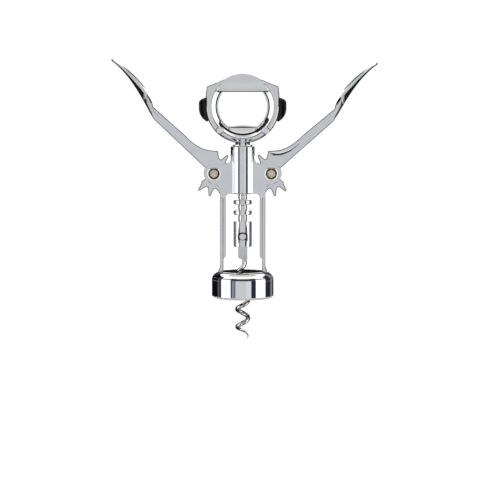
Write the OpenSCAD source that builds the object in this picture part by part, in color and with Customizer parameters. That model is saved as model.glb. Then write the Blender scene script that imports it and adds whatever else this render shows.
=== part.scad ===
// Wing corkscrew with a cap lifter and a foil cutter in its head.
// Millimetres. The origin is the centre of the bell's bottom rim, +Z runs up along the worm,
// the wings swing in the XZ plane and the front of the tool faces -Y.

/* [Bell] */
// Outer diameter of the bell
bell_d = 36; // [35:0.5:38]
// Height of the bell
bell_h = 15.5; // [14.5:0.5:17]
// Bore of the bell, which sits on the bottle's mouth
bell_bore_d = 30.8; // [30:0.2:31]
// Diameter of the hole in the bell's top
bell_hole_d = 24.6; // [23:0.2:25]

/* [Frame] */
// Width over the two uprights
frame_w = 26.4; // [26:0.1:27]
// Depth of the frame, front to back
frame_depth = 8.4; // [8:0.2:9]
// Height of the wing pivots above the bell's rim
pivot_z = 72.6; // [72:0.1:73]
// Distance from the centre line to a wing pivot
pivot_x = 16.65; // [16.5:0.05:16.8]
// Outer diameter of the guide sleeve
sleeve_d = 14; // [13.6:0.1:14.4]

/* [Rack and worm] */
// Distance from one rack ring to the next
rack_pitch = 6.06; // [6:0.02:6.1]
// Number of rack rings above the worm holder
ring_count = 6; // [5:1:6]
// Diameter of the rack rings and of the worm holder
ring_d = 10.6; // [10.2:0.1:10.8]
// Diameter of the worm's wire
worm_wire_d = 2.7; // [2.4:0.1:3]
// Outer diameter of the worm
worm_d = 9; // [8.4:0.1:9.2]
// Height climbed in one turn of the worm
worm_pitch = 10.5; // [9.5:0.1:11]
// Depth of the worm's tip below the bell's rim
worm_reach = 24.5; // [22:0.5:26]

/* [Wings] */
// Radius over the tips of the wing teeth
tooth_tip_r = 13.3; // [13.1:0.1:13.4]
// Angle from one wing tooth to the next
tooth_step = 30.9; // [30.7:0.1:31]
// Number of teeth on each wing
tooth_count = 7; // [5:1:7]
// Thickness of a wing's flat arm
wing_t = 4; // [3.6:0.1:4.2]
// Width of a wing's finger pad
pad_w = 18; // [15:0.5:20]
// Angle by which the right wing hangs lower than the left one
wing_droop = 2; // [0:0.5:2]

/* [Head] */
// Height of the head's centre above the bell's rim
head_z = 111.5; // [111.3:0.1:112]
// Width of the head
head_w = 43.2; // [43:0.1:44]
// Depth of the head, front to back
head_depth = 9.2; // [9:0.1:9.6]
// Inner diameter of the cap lifter's ring
lifter_d = 28.6; // [28:0.2:29]
// Distance from the head's centre to the flat edge of the lifter's bar
bar_z = 8.5; // [8:0.1:9]

/* [Hidden] */

chrome = [0.80, 0.82, 0.84];
satin = [0.74, 0.75, 0.77];
steel = [0.62, 0.63, 0.65];
pin_tan = [0.76, 0.70, 0.58];
black = [0.06, 0.06, 0.07];
round_fn = 72;
small_fn = 32;
bite = 0.5;             // how far a cutting shape runs past the face it cuts
gap = 0.05;             // running clearance of pins and faces

bell_r = bell_d / 2;
bell_in = bell_bore_d / 2;
bell_hole = bell_hole_d / 2;
bell_shoulder = [3.2, 3.5];
bell_lip = [1.1, 2.2];
bell_top_t = 1.8;
bell_cone = 2.4;        // height of the cone between the bore and the top's hole
bell_lead = 0.5;        // lead-in at the foot of the bore

upright_out = frame_w / 2;
upright_t = 1.9;
upright_in = upright_out - upright_t;
rib_t = 1.35;
rib_in = upright_in - rib_t;
rib_depth = 2.8;
rib_bottom = 23.1;
foot_flare = [1.2, 3.5];
plate_t = 2;
plate_in = frame_depth / 2 - plate_t;
plate_bottom = 61;
plate_fillet = 2.4;
fork_bottom = 59;       // below this the uprights are solid from front to back
ear_r = 5.4;
ear_c = [pivot_x + 0.6, pivot_z + 0.4];
ear_root = [upright_out - 0.6, 63.2];
upright_end = 62;       // the fork's edge leaves the upright here and runs out to the ear

sleeve_r = sleeve_d / 2;
sleeve_bore = 5.5;
sleeve_bottom = 61;
sleeve_top = 88.5;
sleeve_slot = [62.4, 82.8];
sleeve_bevel = 0.4;

pin_r = 2;
pin_head_r = 2.45;
pin_recess_r = 3;
pin_recess = 1;
pin_proud = 0.1;        // how far a pin's head stands out of the fork's face

pitch_r = rack_pitch / (tooth_step * PI / 180);
first_tooth = 53;       // angle of the top tooth, from the line towards the rack
mesh_angle = -7.7;      // angle of the tooth that lies nearest to the pivots' level
mesh_z = pivot_z + pitch_r * mesh_angle * PI / 180;
ring_r = ring_d / 2;
ring_t = 2.6;
ring_round = 0.6;
core_r = 2.6;
holder_top = 44.8;
holder_bottom = 30;
first_ring = mesh_z - 3.5 * rack_pitch;
shaft_top = 83.6;
front_groove = 3.7;
groove_end = 81.1;
spigot_r = 2;

tang_w = 5.4;
tang_t = 2.4;
tang_bottom = 23.5;
tang_top = 40;
tang_foot = 2.2;        // length of the slanting foot from which the wire starts
worm_pin_z = 36.1;
worm_pin_r = 1.5;
worm_pin_head_r = 2.4;
worm_pin_face = 4.3;
pin_pocket_r = 3;
pin_pocket_y = 3;

hub_r = 5.6;
root_r = 8.8;
root_half = 1.9;
foot_half = 2.2;        // half width of a tooth where it meets the hub
root_past = [6, 8];     // degrees by which the root runs past the first and last teeth
tip_half = 0.62;
arm_low = [[5.42, 3.61], [34.5, 31.06]];
arm_high = [[35.3, 38.9], [17.5, 22.9]];
shoulder_curve = [[17.5, 22.9], [11, 16.2], [6.5, 13.2], [-2.4, 13.2]];
step_foot = [[-2.6, 9.4], [-4.3, 7.9]];
pad_low = [[34.5, 31.06], [38.1, 35.2], [47, 53], [59.8, 65.7]];
pad_high = [[35.3, 38.9], [36, 46.5], [47, 59], [58.9, 66.6]];
arm_overlap = 0.05;     // how far up the pad the flat arm runs, and how far its corners are drawn in
arm_end = [0.1, 0.4];
pad_rim = 1.4;
pad_full = 0.55;        // share of the pad's length at which it has its full width
pad_taper = 0.72;       // share at which it starts to narrow to its tip
pad_nose = 0.285;       // length of that taper, and the least width that the tip keeps
pad_nose_min = 0.03;
pad_slant = 0.62;       // the rim's thickness over its length along a ring
pad_belly = [0.02, 0.36];
pad_dish_end = [0.1, 0.3];
pad_dish = 1;
pad_crown = 0.012;      // slight crown that keeps every ring convex

head_r = head_w / 2;
plate_front = head_depth / 2;
front_t = 2.4;
cover_t = 2.3;
window_r = 18.1;
bevel_r = 16.2;
bevel_depth = 1.6;
bar_sink = 0.5;
cover_window_r = 16.5;
roof = [[21.6, 5.7], [20.9, 11.5], [6.5, 17.3]];
peak_r = 14;
neck_w = 8.6;
stem_r = 4.3;
neck_bottom = 89.6;
washer_r = 5.7;
washer_t = 0.95;
jaw_pin_at = [13.3, -13.8];
jaw_pin_r = 1.85;
jaw_y = [-0.8, 2.2];
jaw_in = 17.6;
jaw_out = 20.6;
wheel_c = 18.9;
wheel_r = 2.3;
wheel_t = 0.8;
wheel_y = 0.7;
wheel_slot = [5.2, 1];  // width and thickness of the slot that a wheel turns in
wheel_slot_end = 21.5;
axle_r = 0.6;
wheel_angles = [10, -16];
lifter_y = [-2.2, -0.9];
lifter_out = 17.2;
lip_top = -10.9;
lip_r = 46.9;
jaw_arm = [-44, 15];    // angles between which the jaw's arm runs round the window
jaw_tail = [-70, -28];  // angles of its inner ledge, which ends in the tail that the spring pushes
jaw_tail_in = bevel_r + 0.3;
jaw_tail_r = 18.2;
button_x = 23.4;        // the thick end of the side button starts here
button_half = 4;
floor_in = jaw_out + 0.3;   // the thin wall outside the jaws
floor_angles = [240, 300];
stop_angles = [255, 285];
ledge_cut = [300, 330];
spacer_z = bar_z - 1.2;
spring_angle = -66;
spring_wire = 0.3;
spring_r = 0.9;
spring_turns = 3;
screw_at = [17.6, 9.6];
screw_r = 0.9;
screw_head_r = 1.9;
screw_head_t = 1;
screw_slot = 0.5;       // width and depth of the driver's slot
button_low = [[20.6, -8.9], [23.6, -7.4], [25.4, -4.4], [25.4, -1.2]];
button_high = [[25.4, 2], [25.4, 3.8], [23.6, 4.6], [21.2, 5.2]];
button_root = [-8.2, 5.2];
wheel_edge = [0.8, 0.05];   // width of the sharpened rim and half its thickness at the edge
jaw_pin_proud = 0.3;

// ---- shared shapes ----

function arc(c, r, a0, a1, n = 24) =
    [for (i = [0:n]) c + r * [cos(a0 + (a1 - a0) * i / n), sin(a0 + (a1 - a0) * i / n)]];

function oval_arc(c, r, a0, a1, n = 12) =
    [for (i = [0:n]) let (a = a0 + (a1 - a0) * i / n) c + [r[0] * cos(a), r[1] * sin(a)]];

// Point at t on the cubic curve of four control points
function curve_at(p, t) =
    pow(1 - t, 3) * p[0] + 3 * pow(1 - t, 2) * t * p[1]
    + 3 * (1 - t) * t * t * p[2] + pow(t, 3) * p[3];

function curve(p, n = 12) = [for (i = [0:n]) curve_at(p, i / n)];

function ease(t) = let (s = min(1, max(0, t))) s * s * (3 - 2 * s);

// Draws an outline of the XZ plane from depth y0 to depth y1
module slab(y0, y1) {
    translate([0, y1, 0])
        rotate([90, 0, 0])
            linear_extrude(y1 - y0)
                children();
}

// A round bar along Y
module cross_bar(x, z, r, y0, y1, fn = small_fn) {
    translate([x, y1, z])
        rotate([90, 0, 0])
            cylinder(r = r, h = y1 - y0, $fn = fn);
}

// A part in the head's own plane, where the head's centre is the origin
module at_head() {
    translate([0, 0, head_z])
        children();
}

module both_sides() {
    children();
    mirror([1, 0, 0])
        children();
}

// One unbroken tube through rings, a list of closed rings with the same number of points
module tube(rings) {
    n = len(rings);
    k = len(rings[0]);
    polyhedron(
        points = [for (ring = rings) each ring],
        faces = concat(
            [[for (j = [0:k - 1]) j]],
            [[for (j = [k - 1:-1:0]) (n - 1) * k + j]],
            [for (i = [0:n - 2], j = [0:k - 1])
                [i * k + j, (i + 1) * k + j, i * k + (j + 1) % k]],
            [for (i = [0:n - 2], j = [0:k - 1])
                [i * k + (j + 1) % k, (i + 1) * k + j, (i + 1) * k + (j + 1) % k]]),
        convexity = 10);
}

function unit(v) = v / norm(v);

// The ring of k points round point i of a path, with radius r; the ring faces along the path
function path_ring(path, i, r, k, side) =
    let (a = path[max(0, i - 1)], b = path[min(len(path) - 1, i + 1)],
         t = unit(b - a), u = unit(cross(t, side)), v = cross(t, u))
    [for (j = [0:k - 1]) path[i] + r * (u * cos(360 * j / k) + v * sin(360 * j / k))];

// ---- bell, frame and sleeve ----

module bell() {
    lip = oval_arc([bell_r - bell_lip[0], bell_lip[1]], bell_lip, -90, 0, 8);
    shoulder = oval_arc([bell_r - bell_shoulder[0], bell_h - bell_shoulder[1]], bell_shoulder, 0, 90);
    color(chrome)
        rotate_extrude($fn = round_fn)
            polygon(concat(
                [[bell_in + bell_lead, 0]], lip, shoulder,
                [[bell_hole, bell_h], [bell_hole, bell_h - bell_top_t],
                 [bell_in, bell_h - bell_top_t - bell_cone], [bell_in, bell_lead]]));
}

// Right half of the plate that carries the sleeve and one pivot
module plate_half() {
    reach = ear_root - ear_c;
    touch = atan2(reach[1], reach[0]) + acos(ear_r / norm(reach));
    polygon(concat(
        [[0, plate_bottom]],
        arc([rib_in - plate_fillet, plate_bottom - plate_fillet], plate_fillet, 90, 0, 8),
        [[rib_in, fork_bottom - bite], [upright_out, fork_bottom - bite], [upright_out, upright_end]],
        arc(ear_c, ear_r, touch, 90, 24),
        [[0, ear_c[1] + ear_r]]));
}

module upright() {
    slab(-frame_depth / 2, frame_depth / 2)
        polygon([
            [upright_in, bell_h], [upright_out + foot_flare[0], bell_h],
            [upright_out + foot_flare[0] / 4, bell_h + foot_flare[1] / 2.5],
            [upright_out, bell_h + foot_flare[1]],
            [upright_out, fork_bottom], [upright_in, fork_bottom]]);
    slab(-rib_depth / 2, rib_depth / 2)
        polygon([
            [upright_in + bite, rib_bottom - bite], [upright_in + bite, fork_bottom],
            [rib_in, fork_bottom], [rib_in, rib_bottom + rib_t]]);
}

module sleeve_body() {
    rotate_extrude($fn = round_fn)
        polygon([
            [0, sleeve_bottom], [sleeve_r - sleeve_bevel, sleeve_bottom],
            [sleeve_r, sleeve_bottom + sleeve_bevel], [sleeve_r, sleeve_top - sleeve_bevel],
            [sleeve_r - sleeve_bevel, sleeve_top], [0, sleeve_top]]);
}

// One casting: the guide sleeve, the two forks that hold the wings and the two uprights
module frame() {
    color(satin)
        difference() {
            union() {
                sleeve_body();
                both_sides() {
                    upright();
                    slab(-frame_depth / 2, -plate_in)
                        plate_half();
                    slab(plate_in, frame_depth / 2)
                        plate_half();
                }
            }
            translate([0, 0, sleeve_bottom - bite])
                cylinder(r = sleeve_bore, h = sleeve_top - sleeve_bottom + 2 * bite, $fn = round_fn);
            both_sides() {
                translate([core_r, -plate_in, sleeve_slot[0]])
                    cube([sleeve_r, 2 * plate_in, sleeve_slot[1] - sleeve_slot[0]]);
                cross_bar(pivot_x, pivot_z, pin_r, -frame_depth, frame_depth);
                cross_bar(pivot_x, pivot_z, pin_recess_r,
                    -frame_depth, -frame_depth / 2 + pin_recess);
                cross_bar(pivot_x, pivot_z, pin_recess_r,
                    frame_depth / 2 - pin_recess, frame_depth);
            }
        }
}

// side is -1 for the left pin and 1 for the right one
module pivot_pin(side) {
    face = frame_depth / 2 - pin_recess;
    color(pin_tan)
        translate([side * pivot_x, 0, pivot_z]) {
            cross_bar(0, 0, pin_r, -face, face);
            cross_bar(0, 0, pin_head_r, -frame_depth / 2 - pin_proud, -face, 6);
            cross_bar(0, 0, pin_head_r, face, frame_depth / 2 + pin_proud, 6);
        }
}

module left_pivot_pin() { pivot_pin(-1); }

module right_pivot_pin() { pivot_pin(1); }

// ---- wings, drawn for the right side with the pivot at the origin ----

module tooth(angle) {
    rotate(180 - angle)
        polygon(concat(
            [[hub_r, -foot_half], [root_r, -root_half]],
            arc([tooth_tip_r - tip_half, 0], tip_half, -80, 80, 6),
            [[root_r, root_half], [hub_r, foot_half]]));
}

module wing_plate() {
    last_tooth = first_tooth - tooth_step * (tooth_count - 1);
    circle(r = hub_r, $fn = round_fn);
    polygon(concat([[0, 0]], arc([0, 0], root_r,
        180 - first_tooth - root_past[0], 180 - last_tooth + root_past[1], 48)));
    for (i = [0:tooth_count - 1])
        tooth(first_tooth - i * tooth_step);
    polygon(concat(
        [[0, 0], arm_low[0] - arm_low[1] / 10, arm_low[1], curve_at(pad_low, arm_overlap) + arm_end,
         curve_at(pad_high, arm_overlap) + [arm_end[0], -arm_end[1]], arm_high[0]],
        curve(shoulder_curve),
        step_foot));
}

// Ring of the finger pad at t: a shallow dish on top, a rounded belly below. The ring starts as
// the arm's own section, and its rim keeps one thickness from where the belly is full.
function pad_ring(t, m = 6) =
    let (low = curve_at(pad_low, t), up = curve_at(pad_high, t) - low,
         start = wing_t / 2 + arm_end[0],
         grow = start + (pad_w / 2 - start) * ease(t / pad_full),
         nose = max(0, t - pad_taper) / pad_nose,
         half = grow * sqrt(max(pad_nose_min, 1 - nose * nose)),
         rim = min(0.9, pad_rim / (pad_slant * norm(up))),
         belly = (1 - rim) * ease((t - pad_belly[0]) / pad_belly[1]),
         rise = ease((t - pad_dish_end[0]) / pad_dish_end[1]) * ease((1 - t) / pad_dish_end[1]),
         dish = pad_dish / norm(up) * rise - pad_crown)
    concat(
        [for (j = [0:m]) let (a = 180 * j / m, p = low + up * (1 - dish * pow(sin(a), 2)))
            [p[0], half * cos(a), p[1]]],
        [for (j = [0:m]) let (a = 180 * j / m, p = low + up * (belly * (1 - sin(a)) - pad_crown * sin(a)))
            [p[0], -half * cos(a), p[1]]]);

module finger_pad() {
    steps = 18;
    tube([for (i = [0:steps]) pad_ring(i / steps)]);
}

module wing() {
    difference() {
        union() {
            slab(-wing_t / 2, wing_t / 2)
                wing_plate();
            finger_pad();
        }
        cross_bar(0, 0, pin_r + gap, -wing_t, wing_t);
    }
}

module left_wing() {
    color(satin)
        translate([-pivot_x, 0, pivot_z])
            mirror([1, 0, 0])
                wing();
}

module right_wing() {
    color(satin)
        translate([pivot_x, 0, pivot_z])
            rotate([0, wing_droop, 0])
                wing();
}

// ---- rack, worm and their pin ----

module rack_shaft() {
    ring = concat(
        arc([ring_r - ring_round, ring_round - ring_t / 2], ring_round, -90, 0, 4),
        arc([ring_r - ring_round, ring_t / 2 - ring_round], ring_round, 0, 90, 4));
    color(steel)
        difference() {
            union() {
                translate([0, 0, holder_bottom])
                    cylinder(r = ring_r, h = holder_top - holder_bottom, $fn = round_fn);
                translate([0, 0, holder_top - bite])
                    cylinder(r = core_r, h = shaft_top - holder_top + bite, $fn = round_fn);
                translate([0, 0, shaft_top - bite])
                    cylinder(r = spigot_r, h = neck_bottom - shaft_top, $fn = round_fn);
                for (i = [0:ring_count - 1])
                    translate([0, 0, first_ring + i * rack_pitch])
                        rotate_extrude($fn = round_fn)
                            polygon(concat([[0, -ring_t / 2]], ring, [[0, ring_t / 2]]));
            }
            translate([-front_groove / 2, -ring_d, holder_bottom - bite])
                cube([front_groove, ring_d - core_r, groove_end - holder_bottom + bite]);
            cross_bar(0, worm_pin_z, worm_pin_r, -ring_d, ring_d);
            cross_bar(0, worm_pin_z, pin_pocket_r, -ring_d, -pin_pocket_y);
            cross_bar(0, worm_pin_z, pin_pocket_r, pin_pocket_y, ring_d);
            translate([-tang_w / 2, -tang_t / 2, holder_bottom - bite])
                cube([tang_w, tang_t, tang_top - holder_bottom + bite]);
        }
}

// Centre line of the worm from its shank, round the first sweep and down the helix
worm_r = (worm_d - worm_wire_d) / 2;
helix_top = 14.2;
lead_in = [[1.1, 0, 23.6], [1.15, 0, 22.2], [1.15, -0.15, 20.9], [0.95, -0.9, 19.6],
           [0.1, -2, 18.2], [-1.3, -2.75, 16.9], [-2.5, -1.95, 15.5]];
helix_steps = 24;
helix_turns = (helix_top + worm_reach) / worm_pitch;
function helix_point(i) =
    let (a = 180 - 360 * i / helix_steps)
    [worm_r * cos(a), worm_r * sin(a), helix_top - worm_pitch * i / helix_steps];
worm_path = concat(lead_in, [for (i = [0:floor(helix_turns * helix_steps)]) helix_point(i)]);
point_steps = 20;       // steps over which the wire thins to its point
wire_side = [0.01, 0.8, 1];     // a direction that the worm's path never takes
function worm_wire(i) =
    worm_wire_d / 2 * max(0.12, min(1, (len(worm_path) - 1 - i) / point_steps));

module worm() {
    color(steel) {
        difference() {
            slab(-tang_t / 2, tang_t / 2)
                polygon([
                    [-tang_w / 2, tang_top], [-tang_w / 2, tang_bottom],
                    [0, tang_bottom - tang_foot + 0.3], [0, tang_bottom - tang_foot],
                    [tang_w / 2 - 0.4, tang_bottom - tang_foot],
                    [tang_w / 2, tang_bottom - tang_foot / 2], [tang_w / 2, tang_top]]);
            cross_bar(0, worm_pin_z, worm_pin_r, -tang_t, tang_t);
        }
        tube([for (i = [0:len(worm_path) - 1])
            path_ring(worm_path, i, worm_wire(i), 8, wire_side)]);
    }
}

module worm_pin() {
    color(steel) {
        cross_bar(0, worm_pin_z, worm_pin_r, -pin_pocket_y, pin_pocket_y);
        cross_bar(0, worm_pin_z, worm_pin_head_r, -worm_pin_face, -pin_pocket_y);
        cross_bar(0, worm_pin_z, worm_pin_head_r, pin_pocket_y, worm_pin_face);
    }
}

module thrust_washer() {
    color(steel)
        translate([0, 0, sleeve_top + gap])
            difference() {
                cylinder(r = washer_r, h = washer_t, $fn = round_fn);
                translate([0, 0, -bite])
                    cylinder(r = stem_r + gap, h = washer_t + 2 * bite, $fn = round_fn);
            }
}

// ---- head ----

module head_outline() {
    crest = [0, roof[2][1] - sqrt(peak_r * peak_r - roof[2][0] * roof[2][0])];
    lean = asin(roof[2][0] / peak_r);
    polygon(concat(
        arc([0, 0], head_r, 180, 360, 48), [roof[0], roof[1]],
        arc(crest, peak_r, 90 - lean, 90 + lean, 12),
        [[-roof[1][0], roof[1][1]], [-roof[0][0], roof[0][1]]]));
}

// Cuts the round window with its conical bevel, up to the flat edge of the bar
module window_cut() {
    intersection() {
        rotate([90, 0, 0])
            rotate_extrude($fn = round_fn)
                polygon([
                    [0, 0], [bevel_r, 0], [bevel_r, plate_front - bevel_depth],
                    [window_r, plate_front], [window_r, plate_front + bite],
                    [0, plate_front + bite]]);
        translate([-head_w, -head_depth, -head_w])
            cube([2 * head_w, 2 * head_depth, head_w + bar_z]);
    }
}

// Sector of a ring about the head's centre, between the two angles of a
module ring_sector(r0, r1, a) {
    polygon(concat(arc([0, 0], r1, a[0], a[1]), arc([0, 0], r0, a[1], a[0])));
}

// The block under the window, whose shank turns in the washer
module neck_block() {
    slab(-plate_front, plate_front)
        translate([-neck_w / 2, neck_bottom - head_z])
            square([neck_w, head_z - neck_bottom - jaw_in]);
}

module head_casting() {
    color(satin)
        at_head()
            difference() {
                union() {
                    slab(-plate_front, front_t - plate_front)
                        head_outline();
                    slab(front_t - plate_front - bite, plate_front - cover_t) {
                        ring_sector(jaw_in, jaw_out + bite, stop_angles);
                        ring_sector(floor_in, head_r - 0.1, floor_angles);
                        difference() {
                            intersection() {
                                head_outline();
                                translate([-head_w, spacer_z])
                                    square([2 * head_w, head_w]);
                            }
                            circle(r = jaw_in, $fn = round_fn);
                        }
                    }
                    neck_block();
                    translate([0, 0, shaft_top - head_z])
                        cylinder(r = stem_r, h = head_z - shaft_top - jaw_in - bite, $fn = round_fn);
                }
                window_cut();
                both_sides()
                    slab(-head_depth, front_t)
                        ring_sector(bevel_r - bite, window_r - 0.1, ledge_cut);
                difference() {
                    slab(-head_depth, bar_sink - plate_front)
                        circle(r = window_r, $fn = round_fn);
                    translate([-head_w, -2 * head_depth, -head_w])
                        cube([2 * head_w, 4 * head_depth, head_w + bar_z - bite]);
                }
                both_sides() {
                    cross_bar(jaw_pin_at[0], jaw_pin_at[1], jaw_pin_r, -head_depth, head_depth);
                    cross_bar(screw_at[0], screw_at[1], screw_r, -1, head_depth);
                }
                translate([0, 0, shaft_top - head_z - bite])
                    cylinder(r = spigot_r, h = neck_bottom - shaft_top, $fn = round_fn);
            }
}

module head_rear_cover() {
    color(satin)
        at_head()
            difference() {
                slab(plate_front - cover_t, plate_front)
                    difference() {
                        head_outline();
                        circle(r = cover_window_r, $fn = round_fn);
                    }
                neck_block();
                both_sides() {
                    cross_bar(jaw_pin_at[0], jaw_pin_at[1], jaw_pin_r, 0, head_depth);
                    cross_bar(screw_at[0], screw_at[1], screw_r, 0, head_depth);
                    cross_bar(screw_at[0], screw_at[1], screw_head_r,
                        plate_front - screw_head_t, head_depth);
                }
            }
}

module cover_screws() {
    color(steel)
        at_head()
            both_sides() {
                cross_bar(screw_at[0], screw_at[1], screw_r, 0, plate_front - screw_head_t);
                difference() {
                    cross_bar(screw_at[0], screw_at[1], screw_head_r,
                        plate_front - screw_head_t, plate_front);
                    translate([screw_at[0] - screw_head_r, plate_front - screw_slot,
                            screw_at[1] - screw_slot / 2])
                        cube([2 * screw_head_r, 2 * screw_slot, screw_slot]);
                }
            }
}

module cap_lifter() {
    color(chrome)
        at_head()
            slab(lifter_y[0], lifter_y[1])
                difference() {
                    circle(r = lifter_out, $fn = round_fn);
                    difference() {
                        circle(r = lifter_d / 2, $fn = round_fn);
                        translate([0, lip_top - lip_r])
                            circle(r = lip_r, $fn = 2 * round_fn);
                        translate([-head_w, bar_z])
                            square([2 * head_w, head_w]);
                    }
                }
}

module jaw_pin(side) {
    color(chrome)
        at_head()
            cross_bar(side * jaw_pin_at[0], jaw_pin_at[1], jaw_pin_r,
                -plate_front - jaw_pin_proud, plate_front + jaw_pin_proud);
}

module left_jaw_pin() { jaw_pin(-1); }

module right_jaw_pin() { jaw_pin(1); }

// Side button of the jaw: a D that stands out past the head's edge
module button_outline() {
    polygon(concat(
        [[jaw_out - 1, button_root[0]]], curve(button_low, 8), curve(button_high, 8),
        [[jaw_out - 1, button_root[1]]]));
}

// The right jaw: boss on its pin, arm round the window, button outside and spring tail
module jaw() {
    boss_r = head_r - norm(jaw_pin_at) - gap;
    difference() {
        union() {
            slab(jaw_y[0], jaw_y[1]) {
                ring_sector(jaw_in, jaw_out, jaw_arm);
                ring_sector(jaw_tail_in, jaw_tail_r, jaw_tail);
                translate(jaw_pin_at)
                    circle(r = boss_r, $fn = round_fn);
                button_outline();
            }
            slab(-button_half, button_half)
                intersection() {
                    button_outline();
                    translate([button_x, -head_r])
                        square([head_r, 2 * head_r]);
                }
        }
        cross_bar(jaw_pin_at[0], jaw_pin_at[1], jaw_pin_r + gap, -head_depth, head_depth);
        for (a = wheel_angles) {
            rotate([0, -a, 0])
                translate([bevel_r - bite, wheel_y - wheel_slot[1] / 2, -wheel_slot[0] / 2])
                    cube([wheel_slot_end - bevel_r + bite, wheel_slot[1], wheel_slot[0]]);
            cross_bar(wheel_c * cos(a), wheel_c * sin(a), axle_r, -head_depth, head_depth);
        }
    }
}

module left_jaw() {
    color(black)
        at_head()
            mirror([1, 0, 0])
                jaw();
}

module right_jaw() {
    color(black)
        at_head()
            jaw();
}

// Cutting wheel of the right jaw: a thin disc with a sharp edge all round
module cutting_wheel(side, angle) {
    color(steel)
        at_head()
            translate([side * wheel_c * cos(angle), wheel_y, wheel_c * sin(angle)])
                rotate([90, 0, 0])
                    rotate_extrude($fn = round_fn)
                        polygon([
                            [axle_r + gap, -wheel_t / 2], [wheel_r - wheel_edge[0], -wheel_t / 2],
                            [wheel_r, -wheel_edge[1]], [wheel_r, wheel_edge[1]],
                            [wheel_r - wheel_edge[0], wheel_t / 2], [axle_r + gap, wheel_t / 2]]);
}

module left_upper_wheel() { cutting_wheel(-1, wheel_angles[0]); }

module left_lower_wheel() { cutting_wheel(-1, wheel_angles[1]); }

module right_upper_wheel() { cutting_wheel(1, wheel_angles[0]); }

module right_lower_wheel() { cutting_wheel(1, wheel_angles[1]); }

module wheel_axles(side) {
    color(steel)
        at_head()
            for (a = wheel_angles)
                cross_bar(side * wheel_c * cos(a), wheel_c * sin(a), axle_r, jaw_y[0], jaw_y[1]);
}

module left_wheel_axles() { wheel_axles(-1); }

module right_wheel_axles() { wheel_axles(1); }

// Coil spring that pushes the jaw's tail towards the centre, from the casting's outer wall
module jaw_spring() {
    low = floor_in - spring_wire / 2;
    high = jaw_tail_r + spring_wire / 2;
    out = [cos(spring_angle), 0, sin(spring_angle)];
    across = [-sin(spring_angle), 0, cos(spring_angle)];
    per_turn = 8;
    steps = spring_turns * per_turn;
    path = [for (i = [0:steps])
        let (r = low + (high - low) * i / steps, a = 360 * i / per_turn)
        out * r + across * spring_r * cos(a) + [0, wheel_y + spring_r * sin(a), 0]];
    tube([for (i = [0:steps]) path_ring(path, i, spring_wire / 2, 6, out)]);
}

module left_jaw_spring() {
    color(steel)
        at_head()
            mirror([1, 0, 0])
                jaw_spring();
}

module right_jaw_spring() {
    color(steel)
        at_head()
            jaw_spring();
}

bell();
frame();
left_pivot_pin();
right_pivot_pin();
left_wing();
right_wing();
rack_shaft();
worm();
worm_pin();
thrust_washer();
head_casting();
head_rear_cover();
cover_screws();
cap_lifter();
left_jaw_pin();
right_jaw_pin();
left_jaw();
right_jaw();
left_upper_wheel();
left_lower_wheel();
right_upper_wheel();
right_lower_wheel();
left_wheel_axles();
right_wheel_axles();
left_jaw_spring();
right_jaw_spring();
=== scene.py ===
import bmesh
import bpy
import numpy as np
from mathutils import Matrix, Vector
from mathutils.geometry import tessellate_polygon


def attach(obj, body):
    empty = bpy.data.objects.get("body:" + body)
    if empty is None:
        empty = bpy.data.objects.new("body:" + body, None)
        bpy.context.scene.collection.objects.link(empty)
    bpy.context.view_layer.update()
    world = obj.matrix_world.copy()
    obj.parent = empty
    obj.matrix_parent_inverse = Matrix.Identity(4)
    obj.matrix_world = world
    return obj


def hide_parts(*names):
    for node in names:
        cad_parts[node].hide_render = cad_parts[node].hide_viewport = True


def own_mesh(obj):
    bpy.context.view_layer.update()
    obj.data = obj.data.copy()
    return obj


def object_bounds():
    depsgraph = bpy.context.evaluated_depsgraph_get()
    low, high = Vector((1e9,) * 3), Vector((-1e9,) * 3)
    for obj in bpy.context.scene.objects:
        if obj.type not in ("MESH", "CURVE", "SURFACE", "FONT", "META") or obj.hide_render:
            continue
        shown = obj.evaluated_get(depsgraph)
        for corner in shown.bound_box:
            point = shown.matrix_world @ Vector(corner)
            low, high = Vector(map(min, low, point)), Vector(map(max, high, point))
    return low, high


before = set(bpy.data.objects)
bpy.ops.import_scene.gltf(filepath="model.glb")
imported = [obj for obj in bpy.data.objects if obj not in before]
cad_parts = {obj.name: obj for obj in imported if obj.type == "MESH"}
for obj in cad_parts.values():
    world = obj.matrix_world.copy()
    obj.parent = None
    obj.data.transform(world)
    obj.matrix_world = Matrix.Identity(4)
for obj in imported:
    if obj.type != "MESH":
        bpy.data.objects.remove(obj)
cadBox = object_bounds()

# Lengths below are millimetres, in the CAD frame: x to the right, y away from the viewer, z up.
mm = 0.001
bothSides = (("left", -1), ("right", 1))
print("frame loaded:", len(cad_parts), "nodes")


# An outline is an array of points (x, z).
def arc(centre, radius, start, stop, count=24):
    # centre + radius (cos a, sin a), with a running from start to stop in degrees
    a = np.radians(np.linspace(start, stop, count + 1))
    radius = np.broadcast_to(radius, 2)
    return np.stack([centre[0] + radius[0] * np.cos(a), centre[1] + radius[1] * np.sin(a)], 1)


def bezier(points, t):
    # sum of the four control points weighted (1-t)^3, 3t(1-t)^2, 3t^2(1-t) and t^3
    t = np.atleast_1d(t)[:, None]
    p = np.asarray(points, float)
    return (1 - t) ** 3 * p[0] + 3 * t * (1 - t) ** 2 * p[1] + 3 * t * t * (1 - t) * p[2] + t ** 3 * p[3]


def ease(t):
    # 0 below 0, 1 above 1, and 3t^2 - 2t^3 between
    s = np.clip(t, 0, 1)
    return s * s * (3 - 2 * s)


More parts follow.
